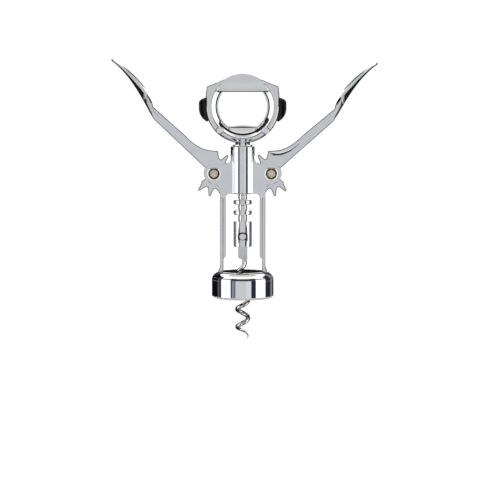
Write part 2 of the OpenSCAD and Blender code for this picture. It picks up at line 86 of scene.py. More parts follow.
def joinLoop(*parts):
    # the parts one after another as a closed loop, without doubled points, turned counter-clockwise
    loop = np.concatenate([np.atleast_2d(np.asarray(part, float)) for part in parts])
    loop = loop[np.linalg.norm(loop - np.roll(loop, 1, 0), axis=1) > 1e-4]
    after = np.roll(loop, -1, 0)
    area = np.sum(loop[:, 0] * after[:, 1] - after[:, 0] * loop[:, 1])
    return loop if area > 0 else loop[::-1]


def circle(centre, radius, count=64):
    # a full turn of count points, which stops one step before it closes
    return arc(centre, radius, 0, 360 * (count - 1) / count, count - 1)


def sector(r0, r1, a0, a1, count=40):
    # the part of a ring between radii r0 and r1 and angles a0 and a1
    return joinLoop(arc((0, 0), r1, a0, a1, count), arc((0, 0), r0, a1, a0, count))


def inward(loop):
    # how each corner moves for an inset of one: the two edges' inward normals, added and mitred
    edge = np.roll(loop, -1, 0) - loop
    ahead = np.stack([-edge[:, 1], edge[:, 0]], 1) / np.linalg.norm(edge, axis=1, keepdims=True)
    back = np.roll(ahead, 1, 0)
    along = 1 + np.sum(ahead * back, axis=1, keepdims=True)
    return (ahead + back) / np.maximum(along, 0.25)


# A shell is a pair: its points and its faces.
def gridFaces(rows, cols, wrapRows=False, wrapCols=False):
    # quads between neighbouring rows and columns of a grid of points
    r = np.arange(rows if wrapRows else rows - 1)[:, None]
    c = np.arange(cols if wrapCols else cols - 1)[None, :]
    down, right = (r + 1) % rows, (c + 1) % cols
    quads = np.stack([r * cols + c, r * cols + right, down * cols + right, down * cols + c], -1)
    return quads.reshape(-1, 4).tolist()


def gridShell(points, wrapRows=False, wrapCols=False):
    # points is (rows, columns, xyz), laid out row by row under the faces above
    rows, cols = points.shape[:2]
    return points.reshape(-1, 3), gridFaces(rows, cols, wrapRows, wrapCols)


def bevelRings(y0, y1, bevel, hold=0.06, steps=3):
    # (inset, y) down a slab's side: flat, a quarter round of the bevel's size, the wall, and back
    a = np.radians(np.linspace(0, 90, steps + 1))
    inset, depth = bevel * (1 - np.sin(a)), bevel * (1 - np.cos(a))
    front = np.stack([inset, y0 + depth], 1)
    back = np.stack([inset, y1 - depth], 1)[::-1]
    return np.concatenate([[[bevel + hold, y0]], front, [[0, y0 + bevel + hold], [0, y1 - bevel - hold]],
                           back, [[bevel + hold, y1]]])


def slabShell(walls):
    # walls is a list of (loop, rings), the outline first and then the holes: each loop is carried
    # through its rings, moved into the material by the inset, and flat caps join first and last rings;
    # a ring is (inset, y), and either may be an array with a value for each point of the loop
    points, faces, base = [], [], 0
    caps = ([], [])
    for number, (loop, rings) in enumerate(walls):
        move = inward(loop) * (1 if number == 0 else -1)
        rings = np.asarray(rings, float)
        inset, y = (rings[..., None] if rings.ndim == 2 else rings).transpose(1, 0, 2)
        flat = loop + move * inset[..., None]
        grid = np.stack([flat[..., 0], np.broadcast_to(y, flat.shape[:2]), flat[..., 1]], -1)
        shell, quads = gridShell(grid, wrapCols=True)
        faces += (np.array(quads) + base).tolist()
        points.append(shell)
        caps[0].append((base, grid[0]))
        caps[1].append((base + (len(rings) - 1) * len(loop), grid[-1]))
        base += len(shell)
    for cap in caps:
        index = np.concatenate([start + np.arange(len(ring)) for start, ring in cap])
        flat = [[Vector((p[0], p[2], 0)) for p in ring] for start, ring in cap]
        faces += index[np.array(tessellate_polygon(flat))].tolist()
    return np.concatenate(points), faces


def slab(loop, y0, y1, bevel=0.3, holes=()):
    # a plate from y0 to y1 with one round bevel along its outline and its holes
    return slabShell([(edge, bevelRings(y0, y1, bevel)) for edge in (loop, *holes)])


def closeEnds(grid):
    # the first and the last ring are repeated, shrunk to their centres
    centre = grid.mean(1, keepdims=True)
    first, last = [np.broadcast_to(end, grid[:1].shape) for end in (centre[:1], centre[-1:])]
    return np.concatenate([first, grid, last])


def lathe(profile, count=128, wrap=True, centre=(0, 0, 0), axis="z"):
    # each profile point (r, h) goes round the axis: (r cos a, r sin a, h)
    a = np.linspace(0, 2 * np.pi, count, endpoint=False)[:, None]
    r, h = np.asarray(profile, float).T
    x, y = r * np.cos(a), r * np.sin(a)
    h = np.broadcast_to(h, x.shape)
    grid = np.stack([x, y, h] if axis == "z" else [x, h, y], -1) + centre
    return gridShell(grid, wrapRows=True, wrapCols=wrap)


def sweep(path, radius, side, count=16):
    # rings across the path, each spanned by u = tangent x side and v = tangent x u
    tangent = np.gradient(path, axis=0)
    tangent /= np.linalg.norm(tangent, axis=1, keepdims=True)
    u = np.cross(tangent, side)
    u /= np.linalg.norm(u, axis=1, keepdims=True)
    v = np.cross(tangent, u)
    radius = np.broadcast_to(radius, len(path)).copy()
    path, u, v = [np.concatenate([q[:1], q, q[-1:]]) for q in (path, u, v)]
    radius = np.concatenate([[0], radius, [0]])[:, None, None]
    a = np.linspace(0, 2 * np.pi, count, endpoint=False)[None, :, None]
    grid = path[:, None] + radius * (u[:, None] * np.cos(a) + v[:, None] * np.sin(a))
    return gridShell(grid, wrapCols=True)


def smoothPath(points, count):
    # cubic pieces through the points, each with the slope of its neighbours' chord
    p = np.asarray(points, float)
    slope = np.gradient(p, axis=0)
    s = np.linspace(0, len(p) - 1, count)
    i = np.minimum(s.astype(int), len(p) - 2)
    t = (s - i)[:, None]
    return ((2 * t ** 3 - 3 * t ** 2 + 1) * p[i] + (t ** 3 - 2 * t ** 2 + t) * slope[i]
            + (3 * t ** 2 - 2 * t ** 3) * p[i + 1] + (t ** 3 - t ** 2) * slope[i + 1])


def placed(shell, move=(0, 0, 0), tilt=0, mirror=False):
    # turned by tilt degrees about +Y, mirrored in x, then moved
    points, faces = shell
    c, s = np.cos(np.radians(tilt)), np.sin(np.radians(tilt))
    turned = points @ np.array([[c, 0, -s], [0, 1, 0], [s, 0, c]])
    if mirror:
        turned = turned * [-1, 1, 1]
    return turned + move, faces


def settle(piece):
    # bakes the piece's modifiers into its own mesh
    bpy.context.view_layer.update()
    result = bpy.data.meshes.new_from_object(piece.evaluated_get(bpy.context.evaluated_depsgraph_get()))
    piece.modifiers.clear()
    piece.data = result


def evenShading(piece, sharp):
    # corner normals follow the larger faces, so that flats and tall walls reflect as flat
    piece.data.shade_smooth()
    piece.data.set_sharp_from_angle(angle=np.radians(sharp))
    weight = piece.modifiers.new("weight", "WEIGHTED_NORMAL")
    weight.keep_sharp = True
    settle(piece)


def makePiece(name, shells, material, body, nodes, sharp=32):
    # one mesh of all the shells, its doubles merged and its faces turned outwards
    points, faces, base = [], [], 0
    for shellPoints, shellFaces in shells:
        points.append(shellPoints)
        faces += [[i + base for i in face] for face in shellFaces]
        base += len(shellPoints)
    mesh = bpy.data.meshes.new(name)
    mesh.from_pydata((np.concatenate(points) * mm).tolist(), [], faces)
    work = bmesh.new()
    work.from_mesh(mesh)
    bmesh.ops.remove_doubles(work, verts=work.verts, dist=2e-7)
    bmesh.ops.dissolve_degenerate(work, edges=work.edges, dist=1e-7)
    bmesh.ops.recalc_face_normals(work, faces=work.faces)
    work.to_mesh(mesh)
    work.free()
    mesh.materials.append(material)
    piece = bpy.data.objects.new(name, mesh)
    bpy.context.scene.collection.objects.link(piece)
    evenShading(piece, sharp)
    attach(piece, body)
    if nodes:
        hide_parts(*nodes)
    return piece


def addFinish(piece, finish, chosen):
    # faces whose centre (x, y, z) and normal the rule accepts take one more finish
    piece.data.materials.append(finish)
    count = len(piece.data.polygons)
    centre, normal, index = np.zeros(count * 3), np.zeros(count * 3), np.zeros(count, np.int32)
    piece.data.polygons.foreach_get("center", centre)
    piece.data.polygons.foreach_get("normal", normal)
    piece.data.polygons.foreach_get("material_index", index)
    index[chosen(*(centre.reshape(-1, 3).T / mm), *normal.reshape(-1, 3).T)] = len(piece.data.materials) - 1
    piece.data.polygons.foreach_set("material_index", index)


def nodeMaterial(name, settings):
    # a metal or plastic whose colour wanders between its tints and whose gloss and relief come from noise
    material = bpy.data.materials.new(name)
    material.use_nodes = True
    nodes, links = material.node_tree.nodes, material.node_tree.links
    shader = nodes["Principled BSDF"]
    shader.inputs["Metallic"].default_value = settings["metal"]
    shader.inputs["Specular IOR Level"].default_value = settings.get("specular", 0.5)
    place = nodes.new("ShaderNodeTexCoord")

    def noise(scale, detail):
        # a noise pattern on the piece's own coordinates
        texture = nodes.new("ShaderNodeTexNoise")
        texture.inputs["Scale"].default_value = scale
        texture.inputs["Detail"].default_value = detail
        links.new(place.outputs["Object"], texture.inputs["Vector"])
        return texture.outputs["Fac"]

    tint = nodes.new("ShaderNodeValToRGB")
    stops = settings["tints"]
    tint.color_ramp.elements.remove(tint.color_ramp.elements[1])
    for number, colour in enumerate(stops):
        at = 0.36 + 0.28 * number / (len(stops) - 1)
        stop = tint.color_ramp.elements[0] if number == 0 else tint.color_ramp.elements.new(at)
        stop.position = at
        stop.color = (*colour, 1)
    links.new(noise(settings["patch"], 2), tint.inputs["Fac"])
    links.new(tint.outputs["Color"], shader.inputs["Base Color"])

    gloss = nodes.new("ShaderNodeMapRange")
    gloss.inputs["From Min"].default_value = 0.3
    gloss.inputs["From Max"].default_value = 0.7
    gloss.inputs["To Min"].default_value = settings["rough"][0]
    gloss.inputs["To Max"].default_value = settings["rough"][1]
    links.new(noise(settings["smear"], 4), gloss.inputs["Value"])
    links.new(gloss.outputs["Result"], shader.inputs["Roughness"])

    bump = nodes.new("ShaderNodeBump")
    bump.inputs["Strength"].default_value = settings["bump"]
    bump.inputs["Distance"].default_value = 0.02 * mm
    links.new(noise(settings["grain"], 3), bump.inputs["Height"])
    links.new(bump.outputs["Normal"], shader.inputs["Normal"])
    return material


finishes = {
    "polished chrome": dict(metal=1, tints=[(0.86, 0.88, 0.90), (0.90, 0.90, 0.90)], patch=60,
                            rough=(0.02, 0.05), smear=220, bump=0.04, grain=900),
    "satin plate": dict(metal=1, tints=[(0.79, 0.81, 0.79), (0.84, 0.84, 0.85), (0.82, 0.81, 0.85)],
                        patch=85, rough=(0.03, 0.07), smear=260, bump=0.04, grain=1400),
    "bright steel": dict(metal=1, tints=[(0.80, 0.80, 0.80), (0.86, 0.86, 0.86)], patch=120,
                         rough=(0.04, 0.08), smear=400, bump=0.05, grain=1600),
    "drawn wire": dict(metal=1, tints=[(0.66, 0.66, 0.65), (0.72, 0.72, 0.72)], patch=120,
                       rough=(0.05, 0.10), smear=400, bump=0.05, grain=1600),
    "cut edge": dict(metal=0.35, tints=[(0.80, 0.78, 0.77), (0.88, 0.86, 0.85)], patch=120,
                     rough=(0.5, 0.6), smear=400, bump=0.1, grain=1600),
    # a near-black metal for round edges: a painted dark reflection along them
    "painted edge reflection": dict(metal=1, tints=[(0.03, 0.03, 0.035), (0.06, 0.06, 0.065)], patch=120,
                      rough=(0.25, 0.35), smear=400, bump=0.05, grain=1600),
    "tan rivet": dict(metal=0.6, tints=[(0.58, 0.50, 0.38), (0.72, 0.66, 0.55)], patch=500,
                      rough=(0.22, 0.35), smear=700, bump=0.25, grain=2500),
    # a near-black finish for hollows, gaps and edges: painted shade
    "painted shade": dict(metal=0.6, tints=[(0.030, 0.024, 0.018), (0.055, 0.046, 0.038)], patch=300,
                        rough=(0.35, 0.5), smear=700, bump=0.2, grain=2000),
    "black moulding": dict(metal=0, tints=[(0.006, 0.006, 0.007), (0.011, 0.010, 0.011)], patch=200,
                           rough=(0.30, 0.42), smear=500, bump=0.08, grain=2600, specular=0.35),
}
chrome, satin, steel, wire, cutEdge, paintedEdgeReflection, rivet, paintedShade, black = [
    nodeMaterial(name, settings) for name, settings in finishes.items()]
print("materials made")


bell = dict(radius=18, height=15.5, bore=15.4, hole=12.3, shoulder=(4.2, 4.9), step=11.3, rim=1.8, edge=0.35,
            lip=[(18, 1.5), (17.55, 0.85), (16.9, 0.05), (15.9, 0)],
            score=(12.3, 0.5, 0.04))  # height, width and depth of the scored line


def bellProfile(b):
    # the lip, the wall, the shoulder with its scored line, round the hole's edge and down the stepped inside;
    # the lip starts at an edge, so the wall's reflections end there
    shoulderAt = (b["radius"] - b["shoulder"][0], b["height"] - b["shoulder"][1])
    top, low, e = b["height"], b["height"] - b["rim"], b["edge"]
    at, wide, deep = b["score"]
    curve = arc(shoulderAt, b["shoulder"], 0, 90, 90)
    near = np.abs(curve[:, 1] - at) < wide / 2
    curve[near, 0] -= deep
    keep = near | np.roll(near, 1) | np.roll(near, -1) | (np.arange(len(curve)) % 5 == 0)
    return np.concatenate([
        arc((b["bore"] + 0.3, 0.3), 0.3, -180, -90, 3), bezier(b["lip"], np.linspace(1, 0, 10))[1:],
        curve[keep],
        arc((b["hole"] + e, top - e), e, 90, 180, 5), arc((b["hole"] + e, low + e), e, 180, 245, 4),
        [[b["bore"], b["step"]], [b["bore"], 0.6]]])


bellPiece = makePiece("bell_body", [lathe(bellProfile(bell), 192)], chrome, "frame", ["bell"], 20)


def insideBell(x, y, z, nx, ny, nz, b=bell):
    # the hole's wall, the bore, and the scored line, by distance from the axis and by height: painted shade
    # inside the bell, and a painted dark line along the score
    r = np.hypot(x, y)
    hollow = (r < b["hole"] + 0.05) | ((r < b["bore"] + 0.1) & (z < b["height"] - b["edge"]) & (z > 0.4))
    return hollow | ((r > 17) & (np.abs(z - b["score"][0]) < b["score"][1] / 2 - 0.02))


def bellLip(x, y, z, nx, ny, nz, b=bell):
    # the lip from the bore outwards, below the wall's lower edge
    return (np.hypot(x, y) > b["bore"] + 0.1) & (z < b["lip"][0][1])


# painted shade in the bell's hollows and along its scored line
addFinish(bellPiece, paintedShade, insideBell)
addFinish(bellPiece, cutEdge, bellLip)
print("bell made")


# The frame is one casting: the sleeve, two double forks and two uprights
fork = dict(half=4.2, wall=2, bottom=61, fillet=2.4, foot=58.35, upright=(11.3, 13.2), start=5.3, top=78.4,
            ear=(17.25, 73.0), earRadius=5.45, earStop=-40, chin=(17.1, 66.6), pivot=(16.65, 72.6), recess=3,
            recessDepth=1.15, bore=2, bevel=0.34, web=(7.9, 80.6))
sleeve = dict(radius=7, bore=5.5, low=61, high=88.5, slot=(62.4, 82.8), slotHalf=2.2, edge=0.4)


def sleeveShell(s):
    # the tube as a grid of angle and height, whose columns bunch at the two side slots' edges,
    # with the slots' cells left out and four walls put in each
    outCut = np.degrees(np.arcsin(s["slotHalf"] / s["radius"]))
    inCut = np.degrees(np.arcsin(s["slotHalf"] / s["bore"]))
    share = np.concatenate([np.linspace(-1, 1, 9), np.linspace(1, 3, 41)[1:-1]])

    def angles(cut):
        # the columns' angles, of which nine span each slot from -cut to cut
        half = np.where(share <= 1, share * cut, cut + (share - 1) * (90 - cut))
        return np.radians(np.concatenate([half, 180 + half]))

    e = s["edge"]
    heights = np.array([s["low"] + e, s["slot"][0], s["slot"][1], s["high"] - e])
    rings = [(s["radius"] - e, s["low"], outCut)] + [(s["radius"], h, outCut) for h in heights]
    rings += [(s["radius"] - e, s["high"], outCut), (s["bore"] + e, s["high"], inCut)]
    rings += [(s["bore"], h, inCut) for h in heights[::-1]] + [(s["bore"] + e, s["low"], inCut)]
    a = np.stack([angles(cut) for r, h, cut in rings])
    r = np.array([ring[0] for ring in rings])[:, None]
    h = np.broadcast_to(np.array([ring[1] for ring in rings])[:, None], a.shape)
    grid = np.stack([r * np.cos(a), r * np.sin(a), h], -1)
    rows, cols = a.shape
    quads = np.array(gridFaces(rows, cols, True, True))
    row, col = quads[:, 0] // cols, quads[:, 0] % cols
    inSlot = (col % (cols // 2)) < 8
    quads = quads[~(inSlot & ((row == 2) | (row == rows - 4)))]
    k = np.concatenate([np.arange(8), cols // 2 + np.arange(8)])
    outLow, outHigh, inLow, inHigh = 2 * cols, 3 * cols, (rows - 3) * cols, (rows - 4) * cols
    sills = np.concatenate([np.stack([low + k, low + k + 1, high + k + 1, high + k], 1)
                            for low, high in ((outLow, inLow), (outHigh, inHigh))])
    k = np.array([0, 8, cols // 2, cols // 2 + 8])
    sides = np.stack([outLow + k, outHigh + k, inHigh + k, inLow + k], 1)
    return grid.reshape(-1, 3), np.concatenate([quads, sills, sides]).tolist()


def forkOutline(f):
    # from the sleeve along the arched bottom, down to the upright, by the hollow chin round the ear, and up
    # to the sleeve's fillet
    ear = arc(f["ear"], f["earRadius"], f["earStop"], 90, 40)
    chin, side = f["chin"], f["upright"][1]
    under = bezier([(side, 62), (side + 0.1, 64.6), (side + 1.4, 66.1), chin], np.linspace(0, 1, 10))
    toEar = bezier([chin, (chin[0] + 2.2, chin[1] + 0.4), ear[0] - [0.9, 1.1], ear[0]], np.linspace(0, 1, 8))
    arch = f["upright"][0] - 1.35 - f["fillet"]
    rise = bezier([(11, f["top"]), (8.6, f["top"] + 0.2), (f["web"][0] - 0.5, f["top"] + 0.5),
                   (f["web"][0] - 0.9, f["web"][1])], np.linspace(0, 1, 12))
    return joinLoop([[f["start"], f["bottom"]]],
                    arc((arch, f["bottom"] - f["fillet"]), f["fillet"], 90, 0, 10),
                    [[f["upright"][0] - 1.35, f["foot"]], [f["upright"][1], f["foot"]]],
                    under, toEar, ear, rise, [[f["start"], f["web"][1]]])


def forkPlates(f):
    # four plates with a sunk seat for the pin's head on their outer face
    outline, hole = forkOutline(f), circle(f["pivot"], f["recess"], 72)
    y0, y1, b = -f["half"], f["wall"] - f["half"], f["bevel"]
    # the seat has a flat rim bevel, then a steep cone down to its floor
    seat = y0 + f["recessDepth"]
    sunk = f["bore"] - f["recess"]
    rings = np.array([[0.85, y0], [0.78, y0], [0.70, y0 + 0.05], [0.10, y0 + 0.50], [0.02, y0 + 0.62],
                      [-0.26, seat - 0.06], [-0.34, seat], [sunk + 0.06, seat], [sunk, seat + 0.06],
                      [sunk, y1]])
    points, faces = slabShell([(outline, bevelRings(y0, y1, b)), (hole, rings)])
    return [(points * [sx, sy, 1], faces) for sx in (-1, 1) for sy in (-1, 1)]


def uprightShells(f, foot=(1.2, 3.5), rib=(1.35, 1.4, 22.6)):
    # a strap with a flared foot, and the rib along its inner side with a slanting end
    a = np.linspace(0, 1, 9)[:, None]
    inX, outX = f["upright"]
    flare = np.concatenate([outX + foot[0] * (1 - a) ** 2, 15.3 + (foot[1] + 0.2) * a], 1)
    strap = joinLoop([[inX, 15.3]], flare, [[outX, f["foot"]], [inX, f["foot"]]])
    ribLoop = joinLoop([[inX + 0.3, rib[2] - 0.3], [inX + 0.3, f["foot"] + 0.6],
                        [inX - rib[0], f["foot"] + 0.6], [inX - rib[0], rib[2] + 1.85]])
    shells = []
    for loop, y, bevel in ((strap, f["half"], 0.45), (ribLoop, rib[1], 0.4)):
        points, faces = slab(loop, -y, y, bevel)
        shells += [(points, faces), (points * [-1, 1, 1], faces)]
    return shells


def sleeveWebs(f, s, count=25):
    # a hollow fillet from each plate's face to the sleeve, which narrows to nothing at its top
    z = np.linspace(s["low"] + 0.35, f["web"][1] - 0.1, count)[:, None]
    spread = 1 - 0.999 * ease((z - 78.4) / (z[-1] - 78.4))
    t = np.linspace(0, 1, 9)[None, :]
    near = np.radians(49.5)
    x0, y0 = s["radius"] * np.sin(near), s["radius"] * np.cos(near)
    # its slope stays steep where it meets the plate, so that edge is a crease
    x1, y1 = x0 + 1.25 * spread, y0 - 0.68 * spread
    x = x0 + (x1 - x0) * t
    y = y0 + (y1 - y0) * t - 0.05 * spread * np.sin(np.pi * t)
    x = np.concatenate([np.full_like(z, x0 - 0.2), x, x1, np.full_like(z, x0 - 0.2)], 1)
    y = np.concatenate([np.full_like(z, y0 - 0.3), y, y1 - 0.5 * spread, np.full_like(z, y0 - 1.2)], 1)
    grid = np.stack([x, -y, np.broadcast_to(z, x.shape)], -1)
    points, faces = gridShell(closeEnds(grid), wrapCols=True)
    return [(points * [sx, sy, 1], faces) for sx in (-1, 1) for sy in (-1, 1)]


frameShells = [sleeveShell(sleeve)] + forkPlates(fork) + uprightShells(fork) + sleeveWebs(fork, sleeve)
framePiece = makePiece("fork_frame", frameShells, satin, "frame", ["frame"])


def insideSeats(x, y, z, nx, ny, nz, f=fork):
    # the wall and the floor of the seats round the pins take painted shade, dark where the recess is shaded
    r = np.hypot(np.abs(x) - f["pivot"][0], z - f["pivot"][1])
    return (r < f["recess"] + 0.06) & (np.abs(y) > 2.1) & (np.abs(y) < f["half"] - 0.45)


def strapEdges(x, y, z, nx, ny, nz, f=fork):
    # the round edges of the straps and their ribs, which take a painted dark reflection
    turned = (np.abs(ny) < 0.95) & (np.abs(ny) > 0.05) & (z < f["foot"] - 0.3)
    return turned & ((np.abs(y) > f["half"] - 0.47) | ((np.abs(y) > 0.98) & (np.abs(y) < 1.42)))


# painted shade in the pin seats, painted dark reflection on the strap edges
addFinish(framePiece, paintedShade, insideSeats)
addFinish(framePiece, paintedEdgeReflection, strapEdges)


# Each pin has six-sided heads with soft corners and a dimple in the middle
pivotPin = dict(shank=1.98, head=2.58, seat=3.05, face=4.25, corner=0.25, dimple=(0.45, 0.16))


def pinShell(p, sideX, count=72):
    # half profile mirrored in y; the head's radius runs between a circle and a hexagon
    a = np.linspace(0, 2 * np.pi, count, endpoint=False)[:, None]
    hexagon = np.cos(np.pi / 6) / np.cos((a + np.pi / 6) % (np.pi / 3) - np.pi / 6)
    c, top = p["corner"], p["face"]
    half = np.array([[0, top - p["dimple"][1]], [p["dimple"][0] * 0.6, top - p["dimple"][1] * 0.8],
                     [p["dimple"][0], top], [p["head"] - 3 * c, top], [p["head"] - c, top - 0.1 * c],
                     [p["head"] - 0.3 * c, top - 0.45 * c], [p["head"], top - c], [p["head"], p["seat"]],
                     [p["shank"] - 0.02, p["seat"]]])
    r = np.concatenate([half[:, 0], half[::-1, 0]])
    y = np.concatenate([half[:, 1], -half[::-1, 1]])
    soft = 1 + (hexagon - 1) * ease((r - p["shank"]) / 0.3)
    x, z = r * np.cos(a) * soft, r * np.sin(a) * soft
    grid = np.stack([x, np.broadcast_to(y, x.shape), z], -1) + [sideX * fork["pivot"][0], 0, fork["pivot"][1]]
    return gridShell(grid, wrapRows=True)


for side, sx in bothSides:
    makePiece(side + "_pivot_rivet", [pinShell(pivotPin, sx)], rivet, "frame", [side + "_pivot_pin"])
print("frame made")


# A wing is a toothed hub, a flat arm and a dished finger pad, all about the pivot's centre
wing = dict(half=2, bevel=0.4, hub=5.6, root=8.8, tip=13.35, tipHalf=0.75, flank=1.42, firstTooth=53,
            step=30.9, teeth=7, bore=2.05, shoulder=[(17.5, 22.9), (11, 16.2), (6.5, 13.2), (-2.4, 13.2)],
            foot=[(-2.6, 9.4), (-4.3, 7.9)], lowCut=[(36.3, 34.9), (37.35, 36.9)],
            tongue=[(39.15, 40.8), (40.1, 44.0), (40.9, 47.2), (40.7, 47.5), (38.6, 45.1), (36.95, 42.5)],
            low=[(34.5, 31.06), (38.6, 36.2), (46, 55.9), (59.8, 65.7)],
            high=[(35.3, 38.9), (36, 46.5), (47, 59), (58.9, 66.6)],
            padHalf=9, rim=1.4, dish=1.0, web=1.6, droop=2)


def toothOutlines(w):
    # one tooth as two hollow flanks and a round tip, turned into each tooth's place
    half = np.radians(w["step"] / 2)
    root = w["root"] * np.array([np.cos(half), -np.sin(half)])
    tipAt = w["tip"] - w["tipHalf"]
    tip = arc((tipAt, 0), w["tipHalf"], -80, 80, 8)
    t = np.linspace(0, 1, 9)[:-1, None]
    low = bezier([root, root + [0.1, 0.62], (w["root"] + 0.35, -w["flank"]), tip[0]], t[:, 0])
    one = np.concatenate([low, tip, (low * [1, -1])[::-1]])
    turn = np.radians(180 - w["firstTooth"] + w["step"] * np.arange(w["teeth"]))[:, None]
    x = one[None, :, 0] * np.cos(turn) - one[None, :, 1] * np.sin(turn)
    z = one[None, :, 0] * np.sin(turn) + one[None, :, 1] * np.cos(turn)
    return np.stack([x, z], -1).reshape(-1, 2)


def wingOutline(w):
    # the teeth, the hub's free side, the arm's lower edge, the tongue up the pad, and back along the arm
    lastRoot = w["step"] * (w["teeth"] - 0.5) - 180 - w["firstTooth"]
    hub = arc((0, 0), w["hub"], lastRoot + 3, 32, 20)
    low = np.concatenate([bezier(w["low"], np.linspace(0, 0.09, 5)) + [-0.06, 0.05], w["lowCut"]])
    high = bezier(w["high"], np.linspace(0.1, 0, 5)) + [0.07, -0.02]
    shoulder = bezier(w["shoulder"], np.linspace(0, 1, 20))
    corner = shoulder[-1]
    rounded = np.concatenate([shoulder[:-1], arc(corner + [0.5, -0.5], 0.5, 90, 175, 4)])
    foot = np.array(w["foot"])
    valley = bezier([foot[0] + [0, 1.2], foot[0], foot[1] + [1.0, 0.4], foot[1]], np.linspace(0, 1, 8))
    return joinLoop(toothOutlines(w), hub, low, w["tongue"], high, rounded, valley)


def padShell(w, steps=72, across=12):
    # rings from the arm to the tip. Each is a half section (y, f), f running from the lower curve to the
    # upper: the rim's foot, two corners where the arm's web shows between rim and belly, the belly's edge in
    # front of the web, and the keel; beyond the web's end the middle three lie on one slope
    t = 1 - (1 - np.linspace(0, 1, steps + 1)) ** 1.25
    low, high = bezier(w["low"], t), bezier(w["high"], t)
    up = high - low
    size = np.linalg.norm(up, axis=1)[:, None]
    t = t[:, None]
    flare = (t - 0.15) / 0.14
    half = w["web"] + (w["padHalf"] - w["web"]) * (0.75 * np.clip(flare, 0, 1) + 0.25 * ease(flare))
    half = half * np.clip(1 - np.clip((t - 0.88) / 0.12, 0, 1) ** 3, 0, 1) ** (1 / 3)
    rim = np.minimum(0.44, w["rim"] / (0.62 * size))
    dish = w["dish"] / size * ease((t - 0.2) / 0.3) * ease((1 - t) / 0.3)
    e = np.minimum(0.22, 0.3 * half)
    s = np.linspace(0, 1, across)[None, :]
    topY, topF = s * (half - e), 1 - dish * (1 - s ** 3)
    edgeA = np.radians(np.linspace(15, 90, 5))[None, :]
    lift = e / size / 0.62
    edgeY, edgeF = half - e + e * np.sin(edgeA), 1 - lift * (1 - np.cos(edgeA))
    lowerA = edgeA[:, ::-1]
    lowY, lowF = half - e + e * np.sin(lowerA), 1 - rim + lift * (1 - np.cos(lowerA))
    body, start = 1 - rim, half - e
    web, keel = np.minimum(start, w["web"] - 0.1), np.minimum(start, 0.25)
    rise = 0.62 * np.clip(t / 0.37, 0, 1) ** 1.6
    cF = body - 0.1 * ease((t - 0.14) / 0.1)
    dF = np.minimum(rise, cF - 0.02)
    eY = np.clip(0.25 + 0.62 * dF * size, keel, start)
    past = ease((t - 0.355) / 0.035)
    slopeF = body * (np.array([web, web, eY]) - keel) / np.maximum(start - keel, 1e-3)
    corners = [(start, body), (web, cF), (web, dF), (eY, dF), (keel, 0 * t)]
    for number, straight in enumerate(slopeF, 1):
        y, f = corners[number]
        if number < 3:
            y, straight = y + (start * (1 - 0.25 * number) - y) * past, body * (1 - 0.25 * number)
        corners[number] = (y, f + (straight - f) * past)
    v = np.linspace(0, 1, 6)[None, 1:]
    underY = np.concatenate([y0 + (y1 - y0) * v for (y0, f0), (y1, f1) in zip(corners, corners[1:])], 1)
    underF = np.concatenate([f0 + (f1 - f0) * v for (y0, f0), (y1, f1) in zip(corners, corners[1:])], 1)
    flatY, flatF = keel * np.linspace(0.6, 0, 3)[None, :], np.zeros((len(t), 3))
    y = np.concatenate([topY, edgeY, lowY, underY, flatY], 1)
    f = np.concatenate([topF, edgeF, lowF, underF, flatF], 1)
    nose = np.sqrt(np.clip(1 - np.clip((t - 0.97) / 0.03, 0, 1) ** 2, 0, 1))
    f = 0.5 + (f - 0.5) * nose
    y, f = np.concatenate([-y, y[:, -2:0:-1]], 1), np.concatenate([f, f[:, -2:0:-1]], 1)
    x = low[:, :1] + up[:, :1] * f
    z = low[:, 1:] + up[:, 1:] * f
    grid = np.stack([x, y, z], -1)
    centre = np.broadcast_to(grid[:1].mean(1, keepdims=True), grid[:1].shape)
    return gridShell(np.concatenate([centre, grid]), wrapCols=True)


def creaseShells(crease, face, count=40):
    # a low ridge carried along a smooth line on both flat faces of the arm: its section (across, height)
    # has a hollow flank that faces up, and a thin steep side below it
    line = smoothPath(crease["line"], count)
    along = np.linspace(0, 1, count)
    width, rise = [np.interp(along, np.linspace(0, 1, len(crease[key])), crease[key])[:, None]
                   for key in ("width", "rise")]
    ahead = np.gradient(line, axis=0)
    across = np.stack([-ahead[:, 1], ahead[:, 0]], 1) / np.linalg.norm(ahead, axis=1, keepdims=True)
    section = np.array(crease["section"])
    offset = line[:, None] + across[:, None] * (section[:, 0] * width)[..., None]
    y = -face + 0.03 - (section[:, 1] * rise + 0.03 * (section[:, 1] > 0))
    grid = np.stack([offset[..., 0], y, offset[..., 1]], -1)
    shell, faces = gridShell(grid, wrapCols=True)
    return [(shell, faces), (shell * [1, -1, 1], faces)]


def wingShells(w, crease):
    # the arm with its teeth and bore, the pad, and the creases on both faces
    arm = slab(wingOutline(w), -w["half"], w["half"], w["bevel"], [circle((0, 0), w["bore"], 40)])
    return [arm, padShell(w)] + creaseShells(crease, w["half"])


creases = dict(
    right=dict(line=[(-1.5, 11.9), (0.5, 10.9), (2.4, 10.5), (5.3, 11.0), (10.5, 13.4), (15.9, 17.8)],
               width=[0.2, 1.15, 1.3, 1.1, 0.75, 0.25], rise=[0.05, 0.9, 1.1, 0.95, 0.7, 0.1],
               section=[(1.6, -0.05), (1.5, 0), (1.2, 0.17), (0.95, 0.28), (0.6, 0.38), (0.3, 0.43),
                        (0, 0.46), (-0.14, 0.36), (-0.2, 0), (-0.2, -0.05)]),
    left=dict(line=[(36.4, 38.3), (35.3, 36.7), (33.4, 34.2), (31.9, 32.3)],
              width=[0.1, 0.8, 0.7, 0.1], rise=[0.05, 1, 0.9, 0.05],
              section=[(0.55, -0.05), (0.5, 0), (0.25, 0.09), (0, 0.14), (-0.1, 0.1), (-0.15, 0),
                       (-0.15, -0.05)]))


